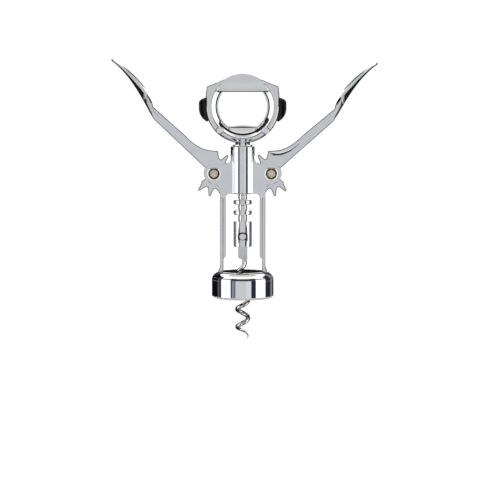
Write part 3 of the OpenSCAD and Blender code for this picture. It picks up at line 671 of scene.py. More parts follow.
def armEdges(x, y, z, nx, ny, nz, w=wing):
    # the arm's and the teeth's round edges, which take a painted dark reflection
    edge = (np.abs(y) < w["half"]) & (np.abs(y) > w["half"] - w["bevel"] - 0.05)
    return edge & (np.abs(ny) < 0.985) & (np.abs(ny) > 0.1)


for side, sx in bothSides:
    shells = [placed(shell, (sx * fork["pivot"][0], 0, fork["pivot"][1]), wing["droop"] * (sx > 0), sx < 0)
              for shell in wingShells(wing, creases[side])]
    lever = makePiece(side + "_lever", shells, satin, side + "_wing", [side + "_wing"])
    # painted dark reflection along the arm's edges
    addFinish(lever, paintedEdgeReflection, armEdges)
print("wings made")


rack = dict(pitch=6.06, first=49.88, rings=6, ring=5.3, ringThick=2.6, round=0.6, core=2.58, waist=2.4,
            holder=(30, 44.8), top=83.6, spigot=2, end=89.1, groove=(1.6, 2.05), grooveFloor=2.6,
            pocket=(2.42, 3.0, 0.36), pinZ=36.1)


def rackProfile(r):
    # holder, then for each pitch a ring with round edges and a barrel between two narrow waists
    e, out = 0.45, r["ring"]
    foot, below = r["holder"]
    rows = [[[0, foot]], [[out - e, foot]], arc((out - e, foot + e), e, -60, 0, 4),
            arc((out - e, below - e), e, 0, 90, 5), [[r["waist"], below]]]
    for number in range(r["rings"]):
        z, h = r["first"] + number * r["pitch"], r["ringThick"] / 2
        s = np.linspace(0, 1, 9)[:, None]
        barrel = np.concatenate([r["waist"] + (r["core"] - r["waist"]) * np.sin(np.pi * s) ** 0.6,
                                 below + 0.05 + (z - h - below - 0.1) * s], 1)
        q = r["round"]
        rows += [barrel, arc((out - q, z - h + q), q, -90, 0, 5), arc((out - q, z + h - q), q, 0, 90, 5)]
        below = z + h
    rows += [[[r["core"], below], [r["core"], r["top"]], [r["spigot"], r["top"]], [r["spigot"], r["end"]],
              [0, r["end"]]]]
    return np.concatenate(rows)


def rackShell(r, count=88):
    # each profile point is a round section with a flat-floored groove down its front, whose walls lean out
    radius, z = rackProfile(r).T
    radius, z = radius[:, None], z[:, None]
    inHalf, outHalf = r["groove"]
    mouth = inHalf + (outHalf - inHalf) * np.clip((radius - r["core"]) / (r["ring"] - r["core"]), 0, 1)
    wide = np.arcsin(mouth / np.maximum(radius, np.hypot(mouth, 2.0)))
    a = wide + (2 * np.pi - 2 * wide) * np.linspace(0, 1, count)[None, :]
    ringX, ringY = radius * np.sin(a), -radius * np.cos(a)
    floorX = np.minimum(inHalf, radius * 0.62) * np.linspace(-1, 1, 9)[None, :]
    floorY = np.maximum(-np.sqrt(np.maximum(radius ** 2 - floorX ** 2, 0)), -r["grooveFloor"])
    x, y = np.concatenate([ringX, floorX], 1), np.concatenate([ringY, floorY], 1)
    return gridShell(np.stack([x, y, np.broadcast_to(z, x.shape)], -1), wrapCols=True)


def carve(piece, shell):
    # cuts the shell's space out of the piece, exactly, and keeps the result as the piece's own mesh
    cutter = bpy.data.objects.new("cutter", bpy.data.meshes.new("cutter"))
    cutter.data.from_pydata((shell[0] * mm).tolist(), [], shell[1])
    work = bmesh.new()
    work.from_mesh(cutter.data)
    bmesh.ops.remove_doubles(work, verts=work.verts, dist=2e-7)
    bmesh.ops.recalc_face_normals(work, faces=work.faces)
    work.to_mesh(cutter.data)
    work.free()
    bpy.context.scene.collection.objects.link(cutter)
    carving = piece.modifiers.new("carving", "BOOLEAN")
    carving.object, carving.operation, carving.solver, carving.use_self = cutter, "DIFFERENCE", "EXACT", True
    settle(piece)
    evenShading(piece, 32)
    bpy.data.objects.remove(cutter)


def pocketCone(r, side):
    # the pin's pocket: a cone that opens outwards from its floor
    inner, depth, slope = r["pocket"]
    return lathe([(0, side * depth), (inner, side * depth), (inner + 5 * slope, side * (depth + 5)),
                  (0, side * (depth + 5))], 64, False, (0, 0, r["pinZ"]), "y")


rackPiece = makePiece("rack_rod", [rackShell(rack)], steel, "head", ["rack_shaft"])
for facing in (-1, 1):
    carve(rackPiece, pocketCone(rack, facing))


def insideGroove(x, y, z, nx, ny, nz, r=rack):
    # the groove's two walls and the pockets' cones, which take painted shade
    wall = (np.abs(nx) > 0.9) & (np.abs(x) < r["groove"][1]) & (y < -r["core"]) & (np.abs(ny) < 0.3)
    cone = (np.hypot(x, z - r["pinZ"]) < 3.2) & (np.abs(y) > r["pocket"][1] - 0.1) & (np.abs(ny) < 0.6)
    return wall | (cone & (np.hypot(nx, nz) > 0.8) & (np.hypot(x, z - r["pinZ"]) > 2.3))


# painted shade in the groove and the pin's pockets
addFinish(rackPiece, paintedShade, insideGroove)


worm = dict(
    wire=1.35, radius=3.15, pitch=10.5, start=14.2, reach=24.5, perTurn=40, taper=0.85,
    lead=[(1.1, 0, 25), (1.1, 0, 23.6), (1.15, 0, 22.2), (1.15, -0.15, 20.9), (0.95, -0.9, 19.6),
          (0.1, -2, 18.2), (-1.3, -2.75, 16.9), (-2.5, -1.95, 15.5)],
    tang=[(-2.7, 40), (-2.7, 24.0), (-2.55, 23.5), (-0.6, 22.6), (0.0, 21.6), (0.15, 21.1), (2.1, 21.0),
          (2.55, 21.9), (2.7, 23.6), (2.7, 40)], tangHalf=1.2)


def wormShells(w):
    # the tang, then the wire along its lead-in and down the helix (R cos a, R sin a, top - pitch a / 360)
    turns = (w["start"] + w["reach"]) / w["pitch"]
    i = np.arange(int(turns * w["perTurn"]) + 1) / w["perTurn"]
    a = np.pi - 2 * np.pi * i
    helix = np.stack([w["radius"] * np.cos(a), w["radius"] * np.sin(a), w["start"] - w["pitch"] * i], 1)
    path = np.concatenate([smoothPath(w["lead"] + [tuple(helix[0])], 50)[:-1], helix])
    ahead = np.linalg.norm(np.diff(path, axis=0), axis=1)
    left = np.append(np.cumsum(ahead[::-1])[::-1], 0) / (2 * np.pi * w["radius"])
    radius = w["wire"] * np.maximum(0.04, np.minimum(1, left / w["taper"]))
    tang = slab(joinLoop(w["tang"]), -w["tangHalf"], w["tangHalf"], 0.25)
    return [tang, sweep(path, radius, (0.01, 0.8, 1), 24)]


def buttonHead(centre, radius, face, seat, shank):
    # a pin along Y with a low domed head at each end
    s = np.linspace(0, 1, 7)
    dome = np.stack([(radius - 0.45) * s, face - 0.1 * s ** 2], 1)
    edge = arc((radius - 0.45, face - 0.57), 0.45, 80, 0, 5)
    half = np.concatenate([dome, edge, [[radius, seat], [shank, seat]]])
    profile = np.concatenate([half, (half * [1, -1])[::-1]])
    return lathe(profile, 64, False, (centre[0], 0, centre[1]), "y")


makePiece("worm_wire", wormShells(worm), wire, "head", ["worm"], 40)
crossPin = dict(radius=2.3, face=4.25, seat=3.05, shank=1.48)
washerProfile = [(4.4, 88.6), (5.55, 88.6), (5.7, 88.75), (5.7, 89.35), (5.55, 89.5), (4.4, 89.5)]


def pinEdge(x, y, z, nx, ny, nz):
    # the cross pin's rounded edge, which takes painted shade as a dark outline
    return np.hypot(x, z - rack["pinZ"]) > crossPin["radius"] - 0.46


pinPiece = makePiece("worm_cross_pin", [buttonHead((0, rack["pinZ"]), **crossPin)], steel, "head",
                     ["worm_pin"])
# painted shade round the pin's edge
addFinish(pinPiece, paintedShade, pinEdge)
makePiece("slip_washer", [lathe(washerProfile, 96)], steel, "washer", ["thrust_washer"])
print("rack and worm made")


# The head's outlines are about the window's centre, at height centre
head = dict(centre=111.5, radius=21.6, front=-4.6, plate=2.4, roof=[(21.6, 5.7), (20.9, 11.5), (6.5, 17.3)],
            peak=14, window=18.1, ledge=15.6, ledgeDepth=1.9, cutLedge=17.2, lowLedge=16.7,
            cuts=((297, 336), (214, 226)), draft=(0.40, 0.50), chamfer=(0.66, 0.82), bar=8.5, barSink=0.5,
            barEdge=0.5, cover=(2.3, 4.6), coverWindow=16.5, neck=(4.3, 89.6), pin=(13.3, -13.8),
            pinRadius=1.85, pinGap=0.12, screw=(17.6, 9.6))


def headOutline(h):
    # the round body from side to side, the straight cheeks and roof, and the arc of the peak
    rise = h["roof"][2][1] - np.sqrt(h["peak"] ** 2 - h["roof"][2][0] ** 2)
    lean = np.degrees(np.arcsin(h["roof"][2][0] / h["peak"]))
    cheek = np.array(h["roof"][:2])
    return joinLoop(arc((0, 0), h["radius"], 180, 360, 120), cheek,
                    arc((0, rise), h["peak"], 90 - lean, 90 + lean, 24), cheek[::-1] * [-1, 1])


def atHead(shells, mirror=False):
    # moved up to the window's centre, and mirrored in x first for a left-hand piece
    return [placed(shell, (0, 0, head["centre"]), 0, mirror) for shell in shells]


def pinHoles(h, y0, y1):
    # the two jaw pins' holes through a plate
    return [(circle((s * h["pin"][0], h["pin"][1]), h["pinRadius"] + h["pinGap"], 40),
             bevelRings(y0, y1, 0.22)) for s in (-1, 1)]


def plateShell(h):
    # chamfered and drafted outside, conical window inside, whose ledge stops where the jaws show
    y0, y1 = h["front"], h["front"] + h["plate"]
    back, wall = h["draft"]
    wide, deep = h["chamfer"]
    edge = wall + wide
    outer = np.array([(edge + 0.2, y0), (edge + 0.05, y0), (edge - 0.04, y0 + 0.05),
                      (wall + 0.5 * wide, y0 + 0.5 * deep), (wall + 0.04, y0 + deep - 0.05),
                      (wall, y0 + deep + 0.06), (wall - 0.02, y0 + deep + 0.3), (back, y1)])
    outline = headOutline(h)
    share = 1 - 0.8 * ease((outline[:, 1] - 11.2) / 0.5)  # the roof's edge is hardly chamfered
    outer = np.stack([outer[:, :1] * share, outer[:, 1:] * np.ones_like(share)], 1)

    loop = circle((0, 0), h["window"], 288)
    angle = np.degrees(np.arctan2(loop[:, 1], loop[:, 0])) % 360
    reach = h["ledge"] + (h["lowLedge"] - h["ledge"]) * ease((angle - 210) / 6) * ease((338 - angle) / 6)
    for start, stop in h["cuts"]:
        reach = reach + (h["cutLedge"] - reach) * ease((angle - start) / 2) * ease((stop - angle) / 2)
    reach = reach - h["window"]
    # a wide round brow, the bevel, and a round lower edge, as (move outwards, depth) for each angle
    depth = h["ledgeDepth"] * reach / (h["ledge"] - h["window"])
    one = np.ones_like(reach)
    brow = [(0.7, 0), (0.55, 0), (0.25, 0.04), (-0.05, 0.14), (-0.3, 0.29)]
    window = np.array([(out * one, sunk * one) for out, sunk in brow]
                      + [(0.84 * reach, 0.84 * depth), (0.94 * reach, 0.93 * depth),
                         (0.99 * reach, depth + 0.04), (reach, depth + 0.16), (reach, one * (y1 - y0))])
    window[:, 1] += y0
    return slabShell([(outline, outer)] + pinHoles(h, y0, y1) + [(loop, window)])


def barShell(h, count=48):
    # the lifter's bar: a segment of the window's circle whose face is sunk at the flat edge, level at the top
    over = h["window"] + 0.75
    x = over * np.cos(np.arcsin(h["bar"] / over)) * np.linspace(-1, 1, count)[:, None]
    top = np.sqrt(np.maximum(over ** 2 - x ** 2, 0))
    s = np.linspace(0, 1, 13)[None, :]
    z = h["bar"] + (top - h["bar"]) * s
    y = h["front"] - 0.01 + h["barSink"] * (1 - ease((z - h["bar"]) / 7.5))
    low, back, e = np.full_like(x, h["bar"]), np.full_like(x, h["front"] + h["plate"]), h["barEdge"]
    z = np.concatenate([low, low, low + 0.3 * e, np.maximum(z, h["bar"] + e), z[:, -1:]], 1)
    y = np.concatenate([back, y[:, :1] + e, y[:, :1] + 0.3 * e, y, back], 1)
    grid = np.stack([np.broadcast_to(x, z.shape), y, z], -1)
    return gridShell(closeEnds(grid), wrapCols=True)


def neckShell(h, count=24):
    # a chamfered block: its half width runs into the round body above, and its chamfers open as it goes down
    z = np.linspace(-16.9, h["neck"][1] - h["centre"] + 0.12, count)[:, None]
    s = ease((-17.6 - z) / 3.8)
    half = h["neck"][0] + 2.4 * (1 - ease((-18.2 - z) / 2.6)) ** 2
    cut = 0.25 + 1.75 * s
    y = np.full_like(z, -h["front"] - 0.02)
    wide = np.concatenate([half - cut - 0.06, half - cut, half, half], 1)
    deep = np.concatenate([y, y, y - cut * 0.85, y - cut * 0.85 - 0.1], 1)
    x = np.concatenate([-wide, wide[:, ::-1], wide, -wide[:, ::-1]], 1)
    y = np.concatenate([-deep, -deep[:, ::-1], deep, deep[:, ::-1]], 1)
    return gridShell(closeEnds(np.stack([x, y, np.broadcast_to(z, x.shape)], -1)), wrapCols=True)


def spacerShells(h):
    # the roof's inner wall, and the floor and the neck's block under the window, between the plates
    y0, y1 = h["front"] + h["plate"] + 0.02, h["cover"][0] - 0.02
    outline = headOutline(h)
    roof = outline[outline[:, 1] > 7.4]
    roof = roof[np.argsort(np.arctan2(roof[:, 1], roof[:, 0]))] * 0.985
    start, stop = [np.degrees(np.arctan2(*p[::-1])) for p in (roof[0], roof[-1])]
    return [slab(joinLoop(roof, arc((0, 0), 17.6, stop, start, 60)), y0, y1, 0.2),
            slab(sector(20.9, 21.4, 240, 300), y0, y1, 0.1),
            slab(sector(17.6, 21, 255, 285, 20), y0, y1, 0.2)]


stemLow, stemHigh, stemRadius = 83.6 - head["centre"], -18.2, 4.25
stem = lathe([(0, stemLow), (stemRadius, stemLow), (stemRadius, stemHigh), (0, stemHigh)], 72, False)
headShells = [plateShell(head), barShell(head), neckShell(head), stem] + spacerShells(head)
headPiece = makePiece("head_front", atHead(headShells), satin, "head", ["head_casting"], 28)


def underBar(x, y, z, nx, ny, nz, h=head):
    # the bar's cut edge takes painted shade, the dark line under the bar
    up = z - h["centre"] - h["bar"]
    edge = (up > -0.1) & (up < h["barEdge"] - 0.05) & (np.abs(x) < 15.9)
    return edge & (y < h["front"] + h["plate"]) & (ny > -0.985)


def pinGaps(x, y, z, nx, ny, nz, h=head):
    # the round edges of the jaw pins' holes, which take painted shade
    r = np.hypot(np.abs(x) - h["pin"][0], z - h["centre"] - h["pin"][1])
    return (r < h["pinRadius"] + 0.42) & (np.abs(ny) < 0.97)


def plateEdges(x, y, z, nx, ny, nz, h=head):
    # the outer half of the front plate's chamfer, which takes a painted dark reflection
    depth = y - h["front"]
    return (depth > 0.42) & (depth < 0.9) & (np.hypot(x, z - h["centre"]) > 19) & (np.abs(ny) < 0.95)


# painted shade under the bar and round the pin holes, painted dark reflection on the chamfer
addFinish(headPiece, paintedShade, underBar)
addFinish(headPiece, paintedShade, pinGaps)
addFinish(headPiece, paintedEdgeReflection, plateEdges)


def coverShell(h):
    # the flat rear cover with its round window, screw seats and pin holes
    y0, y1 = h["cover"]
    outline = headOutline(h)
    upper = outline[outline[:, 1] > -19.6]
    upper = upper[np.argsort(np.arctan2(upper[:, 0], upper[:, 1]))]
    edge = [(0.5, y0), (0.38, y0), (0.3, y0 + 0.08), (0.06, y1 - 0.5), (0.04, y1 - 0.4), (0.16, y1 - 0.12),
            (0.44, y1), (0.55, y1)]
    seat = np.concatenate([[[-0.96, y0], [-0.96, y1 - 1.04], [-0.9, y1 - 1], [-0.06, y1 - 1], [0, y1 - 0.94]],
                           bevelRings(y0, y1, 0.15)[-5:]])
    walls = [(joinLoop(upper), edge), (circle((0, 0), h["coverWindow"], 160), bevelRings(y0, y1, 0.5))]
    walls += pinHoles(h, y0, y1)
    return slabShell(walls + [(circle((s * h["screw"][0], h["screw"][1]), 1.92, 48), seat) for s in (-1, 1)])


makePiece("head_back", atHead([coverShell(head)]), satin, "head", ["head_rear_cover"])


coverScrew = dict(profile=[(0, 4.5), (0.28, 4.5), (0.3, 4.5), (0.7, 4.49), (1.1, 4.47), (1.5, 4.44),
                           (1.8, 4.38), (1.88, 4.25), (1.88, 3.6), (0.9, 3.6), (0.9, 0.1), (0, 0.1)],
                  slotHalf=0.26, slotDepth=0.5)


def screwShell(c, centre, count=240):
    # a low round head whose face drops into a straight slot where |z| is small
    a = np.linspace(0, 2 * np.pi, count, endpoint=False)[:, None]
    r, y = np.array(c["profile"]).T[:, None]
    x, z = r * np.cos(a), r * np.sin(a)
    depth = np.where((np.abs(z) < c["slotHalf"]) & (y > 4), c["slotDepth"], 0)
    return gridShell(np.stack([x + centre[0], y - depth, z + centre[1]], -1), wrapRows=True)


screws = [screwShell(coverScrew, (s * head["screw"][0], head["screw"][1])) for s in (-1, 1)]
makePiece("cover_screw_pair", atHead(screws), steel, "head", ["cover_screws"])


lifter = dict(out=17.2, inner=14.32, bar=8.5, lip=(-10.9, 46.9), bead=15.2, roll=15.85, front=-2.75,
              flange=-1.75, back=-0.9, proud=0.35)
ledgeProfile = [(15.5, -1.6), (17.6, -1.6), (17.6, -0.95), (16.6, -0.95), (15.5, -0.95)]


def lifterShell(c, count=360):
    # a ring by angle, whose inner edge is the nearest of the circle, the bar's line and the lip's long arc;
    # across it runs a bead, then a step down to a flange, and at the lip a flat tongue that rolls over
    a = np.linspace(0, 2 * np.pi, count, endpoint=False)[:, None]
    sin, cos = np.sin(a), np.cos(a)
    drop = c["lip"][0] - c["lip"][1]
    toLip = drop * sin - np.sqrt(np.maximum((drop * sin) ** 2 - drop ** 2 + c["lip"][1] ** 2, 0))
    toLip = np.where((sin < -0.4) & (toLip > 0), toLip, c["inner"])
    toBar = np.where(sin > 0.05, c["bar"] / np.maximum(sin, 0.05), c["inner"])
    inner = np.minimum(np.minimum(c["inner"], toBar), toLip)
    lip = ease((c["inner"] - toLip) / 1.6)
    low = ease((-0.52 - sin) / 0.06)
    crest = c["bead"] + (c["roll"] - c["bead"]) * lip
    out = c["out"] + (crest + 0.02 - c["out"]) * low
    bead = np.radians(np.linspace(0, 180, 15))[None, :]
    middle, halfWide = (inner + crest) / 2, (crest - inner) / 2
    share = -np.cos(bead)
    rise = np.sin(bead) ** (0.5 / (1 + 0.5 * lip))
    r = [middle + halfWide * np.broadcast_to(share, (count, bead.shape[1]))]
    y = [c["flange"] + (c["front"] - c["proud"] * lip - c["flange"]) * rise]
    r += [np.maximum(crest, out - 0.1), out, out, np.maximum(crest, out - 0.1), crest, inner + 0.2, inner]
    y += [np.full_like(a, v) for v in (c["flange"], c["flange"] + 0.1, c["back"] - 0.1, c["back"], c["back"],
                                       c["back"], c["back"] - 0.2)]
    r, y = np.concatenate(r, 1), np.concatenate(y, 1)
    return gridShell(np.stack([r * cos, y, r * sin], -1), wrapRows=True, wrapCols=True)


def ringGaps(x, y, z, nx, ny, nz, c=lifter):
    # the flange beside the bead, and the bead's cut inner side, which take painted shade
    r = np.hypot(x, z - head["centre"])
    inside = (r < c["inner"] + 0.2) & (ny > -0.8) & (y > c["front"] + 0.1)
    return ((r > c["bead"] - 0.05) & (r < c["out"] - 0.2) & (y > c["front"] + 0.35) & (ny < 0)) | inside


capRing = makePiece("cap_ring", atHead([lifterShell(lifter)]), chrome, "head", ["cap_lifter"], 40)
# painted shade in the gaps beside the ring's bead
addFinish(capRing, paintedShade, ringGaps)

# the ledge in which the ring sits is painted shade all over, and shows as the dark line round it
makePiece("ring_seat", atHead([lathe(ledgeProfile, 180, axis="y")]), paintedShade, "head", [])

jawPin = dict(face=4.9, dome=0.08, edge=0.35)


def jawPinShell(p, h, sx):
    # a pin along Y with low domed ends: half a profile and its mirror image
    radius, e = h["pinRadius"], p["edge"]
    s = np.linspace(0, 1, 6)
    dome = np.stack([(radius - e) * s, p["face"] - p["dome"] * s ** 2], 1)
    half = np.concatenate([dome, arc((radius - e, p["face"] - p["dome"] - e), e, 80, 0, 4)])
    profile = np.concatenate([half, (half * [1, -1])[::-1]])
    return lathe(profile, 56, False, (sx * h["pin"][0], 0, h["pin"][1]), "y")


for side, sx in bothSides:
    makePiece(side + "_jaw_rivet", atHead([jawPinShell(jawPin, head, sx)]), chrome, "head",
              [side + "_jaw_pin"])


jaw = dict(y=(-0.8, 2.2), inner=17.6, out=20.6, arm=(-44, 15), tail=(-70, -28), tailIn=16.5, tailOut=18.2,
           boss=2.38, halfThick=4, neckHalf=1.5, root=(19.8, -1.6), rootEnds=(-8.3, 5.2),
           wheels=(10, -16), slot=(15.7, 21.5), slotHalf=2.6, slotY=(0.2, 1.2),
           low=[(20.6, -8.9), (23.6, -7.4), (25.4, -4.4), (25.4, -1.2)],
           high=[(25.4, 2), (25.4, 3.8), (23.6, 4.6), (21.2, 5.2)])


def buttonShell(j, steps=15):
    # sections along the button's outline, thin at the head and rounded to full thickness outside
    low, high = bezier(j["low"], np.linspace(0, 1, 14)), bezier(j["high"], np.linspace(0, 1, 12))
    root = j["root"]
    rim = np.concatenate([[(root[0], j["rootEnds"][0])], low, high, [(root[0], j["rootEnds"][1])]])
    s = np.linspace(0, 1, steps)[:, None]
    bulge = np.sin(np.radians(np.linspace(0, 90, steps)))[:, None]
    x = root[0] + (rim[None, :, 0] - root[0]) * bulge
    z = root[1] + (rim[None, :, 1] - root[1]) * bulge
    # 0 near the head and 1 outside, so that the thick part stays clear of the plates when squeezed
    far = ease((x - 21.85 - 0.088 * (z + 13.8)) / 1.5)
    half = j["neckHalf"] + (j["halfThick"] - j["neckHalf"]) * far
    middle = np.mean(j["y"]) * (1 - far)
    y = half * np.sqrt(np.maximum(1 - bulge ** 6, 0)) * (1 - 0.12 * s)
    front = np.stack([x, middle - y, z], -1)
    back = np.stack([x, middle + y, z], -1)[::-1][1:]
    return gridShell(np.concatenate([front, back]), wrapCols=True)


def jawShells(j):
    # the arm and the thinner tail as parts of rings, the boss round the pin, and the button
    y0, y1 = j["y"]
    arm = slab(sector(j["inner"], j["out"], *j["arm"]), y0, y1, 0.25)
    tail = slab(sector(j["tailIn"], j["tailOut"], *j["tail"]), y0 + 0.03, y1 - 0.03, 0.25)
    boss = slab(circle(head["pin"], j["boss"], 48), y0 + 0.06, y1 - 0.06, 0.25)
    return [arm, tail, boss, buttonShell(j)]


def wheelCutters(j):
    # the slots in which the wheels turn, as boxes lying across the arm
    (near, far), half = j["slot"], j["slotHalf"]
    cutters = []
    for angle in np.radians(j["wheels"]):
        out, across = np.array([np.cos(angle), np.sin(angle)]), np.array([-np.sin(angle), np.cos(angle)])
        corners = ((near, -half), (far, -half), (far, half), (near, half))
        loop = np.array([out * r + across * w for r, w in corners])
        cutters.append(slab(loop, *j["slotY"], 0.02))
    return cutters


# Each jaw's spring leans at this angle below the window's centre, between these radii
spring = dict(turns=3.5, wire=0.16, radius=0.85, angle=-66, wall=20.7, tail=18.4, y=0.7, anchor=20.75,
              keep=0.68)


def springAxis(p):
    # (cos a, 0, sin a), from the window's centre out along the spring
    a = np.radians(p["angle"])
    return np.array([np.cos(a), 0, np.sin(a)])


def springShell(p):
    # a coil from the casting's wall to the jaw's tail, with flat end turns
    out = springAxis(p)
    across = np.array([-out[2], 0, out[0]])
    s = np.linspace(0, 1, 120)[:, None]
    r = p["wall"] + (p["tail"] - p["wall"]) * ease(s)
    turn = 2 * np.pi * p["turns"] * s
    coil = across * p["radius"] * np.cos(turn) + np.array([0, 1, 0]) * (p["y"] + p["radius"] * np.sin(turn))
    return sweep(out * r + coil, p["wire"], out, 8)


for side, sx in bothSides:
    mirrored = sx < 0
    jawPiece = makePiece(side + "_cutter_jaw", atHead(jawShells(jaw), mirrored), black, side + "_jaw",
                         [side + "_jaw"])
    for cutter in atHead(wheelCutters(jaw), mirrored):
        carve(jawPiece, cutter)
    coil = makePiece(side + "_return_spring", atHead([springShell(spring)], mirrored), steel, "head",
                     [side + "_jaw_spring"])
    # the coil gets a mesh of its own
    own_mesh(coil)
print("head made")

# the small wheels and their axles keep their CAD meshes
for name in ("left_upper_wheel", "left_lower_wheel", "right_upper_wheel", "right_lower_wheel",
             "left_wheel_axles", "right_wheel_axles"):
    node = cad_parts[name]
    node.data.materials.clear()
    node.data.materials.append(steel)


# Directions as the front of the tool sees them: azimuth in degrees from the viewer, + to the right.
# The world is upright bands by azimuth, and then layers of one colour laid over them
azimuthBands = [(-180, 1.35, 1.35, 1.35), (-166, 0.004, 0.004, 0.006), (-107, 0.12, 0.12, 0.12),
                (-101, 0.035, 0.045, 0.075), (-88, 1.35, 1.35, 1.35), (-47, 0.055, 0.065, 0.09),
                (-41, 0.27, 0.29, 0.36), (-35, 0.17, 0.18, 0.24), (-28, 0.64, 0.66, 0.68),
                (-8, 0.62, 0.64, 0.66), (12, 0.72, 0.74, 0.76), (32, 0.02, 0.028, 0.05),
                (50, 1.35, 1.35, 1.35), (94, 0.02, 0.024, 0.04), (127, 0.26, 0.25, 0.27),
                (166, 1.35, 1.35, 1.35)]
colours = dict(ceiling=(1.2, 1.19, 1.17), zenith=(0.80, 0.77, 0.72), eaves=(0.05, 0.055, 0.07),
               apron=(0.74, 0.75, 0.72), skirt=(0.012, 0.012, 0.014), nadir=(0.5, 0.5, 0.5),
               cheek=(0.30, 0.30, 0.31), rear=(0.55, 0.56, 0.57))
# Where a layer shows by azimuth, as (degrees, share)
around = dict(
    front=[(-180, 0), (-30, 0), (-24, 1), (24, 1), (30, 0), (180, 0)],
    notFront=[(-180, 1), (-30, 1), (-24, 0), (24, 0), (30, 1), (180, 1)],
    betweenLights=[(-180, 1), (-88.5, 1), (-88, 0), (-47, 0), (-46.5, 1), (-30, 1), (-24, 0), (24, 0),
                   (30, 1), (49.5, 1), (50, 0), (94, 0), (94.5, 1), (180, 1)],
    frontHalf=[(-180, 0), (-112, 0), (-106, 1), (-88.5, 1), (-88, 0), (-47, 0), (-46.5, 1), (49.5, 1),
               (50, 0), (94, 0), (94.5, 1), (106, 1), (112, 0), (180, 0)],
    flanks=[(-180, 0), (-166, 0), (-165, 1), (-99, 1), (-98, 0), (94, 0), (95, 1), (165, 1), (166, 0),
            (180, 0)],
    back=[(-180, 1), (-150, 1), (-140, 0), (140, 0), (150, 1), (180, 1)],
    backCorners=[(-180, 1), (-175, 1), (-171, 0), (-146, 0), (-142, 1), (-122, 1), (-115, 0), (115, 0),
                 (122, 1), (142, 1), (146, 0), (171, 0), (175, 1), (180, 1)])
# (colour, where it shows by elevation, where by azimuth), the later over the earlier
layers = [("cheek", [(-90, 0), (-5.2, 0), (-5.1, 1), (-3.55, 1), (-3.5, 0)], "flanks"),
          ("skirt", [(-90, 1), (-10, 1), (-8, 0), (90, 0)], "betweenLights"),
          ("skirt", [(-90, 1), (-50, 1), (-45, 0), (90, 0)], "notFront"),
          ("skirt", [(-90, 1), (-3, 1), (-1, 0), (90, 0)], "back"),
          ("apron", [(-90, 1), (-16, 1), (-8, 0), (90, 0)], "front"),
          ("rear", [(-90, 0), (-24, 0), (-21, 1), (-10, 1), (-9, 0), (90, 0)], "backCorners"),
          ("nadir", [(-90, 1), (-70, 1), (-63, 0), (90, 0)], None),
          ("eaves", [(-90, 0), (8, 0), (10, 1), (90, 1)], "frontHalf"),
          ("eaves", [(-90, 0), (10, 0), (14, 1), (90, 1)], "back"),
          ("ceiling", [(-90, 0), (36, 0), (40, 1), (90, 1)], None),
          ("zenith", [(-90, 0), (58, 0), (64, 1), (90, 1)], None)]


def rampNode(nodes, stops, span, mode="LINEAR"):
    # stops are (angle, r, g, b), placed at angle / (2 span) + 1/2
    ramp = nodes.new("ShaderNodeValToRGB")
    ramp.color_ramp.interpolation = mode
    ramp.color_ramp.elements.remove(ramp.color_ramp.elements[1])
    for number, (angle, *colour) in enumerate(stops):
        at = angle / (2 * span) + 0.5
        stop = ramp.color_ramp.elements[0] if number == 0 else ramp.color_ramp.elements.new(at)
        stop.position = at
        stop.color = (*colour, 1)
    return ramp


def makeWorld():
    # a round studio: upright bands of light and dark by azimuth, a dark gap above them, a pale ceiling and a
    # pale ground; the camera itself sees plain white
    world = bpy.data.worlds.new("studio")
    world.use_nodes = True
    bpy.context.scene.world = world
    nodes, links = world.node_tree.nodes, world.node_tree.links
    background = nodes["Background"]
    place = nodes.new("ShaderNodeTexCoord")
    split = nodes.new("ShaderNodeSeparateXYZ")
    links.new(place.outputs["Generated"], split.inputs["Vector"])

    def maths(operation, a, b=None):
        # one maths node, whose inputs are numbers or sockets
        node = nodes.new("ShaderNodeMath")
        node.operation = operation
        for number, value in enumerate((a, b)):
            if value is None:
                continue
            if isinstance(value, (int, float)):
                node.inputs[number].default_value = value
            else:
                links.new(value, node.inputs[number])
        return node.outputs["Value"]

    toViewer = maths("MULTIPLY", split.outputs["Y"], -1)
    turn = maths("ARCTAN2", split.outputs["X"], toViewer)
    share = maths("ADD", maths("MULTIPLY", turn, 1 / (2 * np.pi)), 0.5)
    bands = rampNode(nodes, azimuthBands, 180, "CONSTANT")
    links.new(share, bands.inputs["Fac"])
    lift = maths("ADD", maths("MULTIPLY", maths("ARCSINE", split.outputs["Z"]), 1 / np.pi), 0.5)

    def greyRamp(stops, span, value):
        # the share of a layer at each angle, as a ramp of greys
        ramp = rampNode(nodes, [(angle, grey, grey, grey) for angle, grey in stops], span)
        links.new(value, ramp.inputs["Fac"])
        return ramp.outputs["Color"]

    shade = bands.outputs["Color"]
    for colour, byHeight, where in layers:
        # under x (1 - amount) + colour x amount
        amount = greyRamp(byHeight, 90, lift)
        if where:
            amount = maths("MULTIPLY", amount, greyRamp(around[where], 180, share))
        mix = nodes.new("ShaderNodeMix")
        mix.data_type = "RGBA"
        links.new(amount, mix.inputs["Factor"])
        links.new(shade, mix.inputs["A"])
        mix.inputs["B"].default_value = (*colours[colour], 1)
        shade = mix.outputs["Result"]

    path = nodes.new("ShaderNodeLightPath")
    seen = nodes.new("ShaderNodeMix")
    seen.data_type = "RGBA"
    links.new(path.outputs["Is Camera Ray"], seen.inputs["Factor"])
    links.new(shade, seen.inputs["A"])
    seen.inputs["B"].default_value = (1, 1, 1, 1)
    links.new(seen.outputs["Result"], background.inputs["Color"])
    background.inputs["Strength"].default_value = 1


sheet = dict(half=6.0, drop=0.0001, grey=0.8, glow=1.13, glowShare=0.84)  # metres


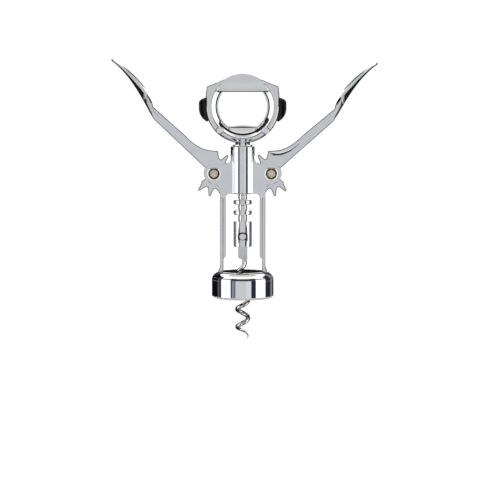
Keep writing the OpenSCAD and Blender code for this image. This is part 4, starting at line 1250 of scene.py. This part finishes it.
def makeFloor(f, height):
    # a pale sheet that the camera sees almost white, so that only the shadow shows on it
    mesh = bpy.data.meshes.new("floor")
    side = np.array([[-1, -1], [1, -1], [1, 1], [-1, 1]]) * f["half"]
    mesh.from_pydata(np.column_stack([side, np.full(4, height)]).tolist(), [], [(0, 1, 2, 3)])
    floor = bpy.data.objects.new("floor", mesh)
    bpy.context.scene.collection.objects.link(floor)
    material = bpy.data.materials.new("pale floor")
    material.use_nodes = True
    nodes, links = material.node_tree.nodes, material.node_tree.links
    nodes.remove(nodes["Principled BSDF"])
    diffuse, glow = nodes.new("ShaderNodeBsdfDiffuse"), nodes.new("ShaderNodeEmission")
    clear, path = nodes.new("ShaderNodeBsdfTransparent"), nodes.new("ShaderNodeLightPath")
    diffuse.inputs["Color"].default_value = (f["grey"], f["grey"], f["grey"], 1)
    glow.inputs["Color"].default_value = (1, 1, 1, 1)
    glow.inputs["Strength"].default_value = f["glow"]
    seen, passed = nodes.new("ShaderNodeMixShader"), nodes.new("ShaderNodeMixShader")
    share = nodes.new("ShaderNodeMath")
    share.operation = "MULTIPLY"
    share.inputs[1].default_value = f["glowShare"]
    links.new(path.outputs["Is Camera Ray"], share.inputs[0])
    links.new(share.outputs["Value"], seen.inputs["Fac"])
    links.new(diffuse.outputs["BSDF"], seen.inputs[1])
    links.new(glow.outputs["Emission"], seen.inputs[2])
    links.new(path.outputs["Is Glossy Ray"], passed.inputs["Fac"])
    links.new(seen.outputs["Shader"], passed.inputs[1])
    links.new(clear.outputs["BSDF"], passed.inputs[2])
    links.new(passed.outputs["Shader"], nodes["Material Output"].inputs["Surface"])
    mesh.materials.append(material)


overhead = dict(place=(-0.3, -0.4, 0.9), aim=(0, 0, 0.05), size=0.6, power=4)  # metres and watts


def makeLamp(name, place, aim, size, power):
    # a round lamp for the shadow, which reflections leave out
    lamp = bpy.data.lights.new(name, "AREA")
    lamp.shape, lamp.size, lamp.energy = "DISK", size, power
    piece = bpy.data.objects.new(name, lamp)
    piece.location = place
    piece.rotation_euler = (Vector(aim) - Vector(place)).to_track_quat("-Z", "Y").to_euler()
    piece.visible_glossy = False
    bpy.context.scene.collection.objects.link(piece)


view = dict(aim=(4.26, 0, 27.9), distance=1.2, tilt=5, lens=148, sensor=36)


def makeCamera(v):
    # stands in front of the aim, raised by the tilt in degrees
    lens = bpy.data.cameras.new("camera")
    lens.lens, lens.sensor_width = v["lens"], v["sensor"]
    camera = bpy.data.objects.new("camera", lens)
    aim = Vector(v["aim"]) * mm
    tilt = np.radians(v["tilt"])
    camera.location = aim + v["distance"] * Vector((0, -np.cos(tilt), np.sin(tilt)))
    camera.rotation_euler = (aim - camera.location).to_track_quat("-Z", "Y").to_euler()
    bpy.context.scene.collection.objects.link(camera)
    bpy.context.scene.camera = camera


makeWorld()
makeFloor(sheet, float(cadBox[0][2]) - sheet["drop"])
makeLamp("overhead", **overhead)
makeCamera(view)
bpy.context.scene.view_settings.view_transform = "Standard"
print("studio made")
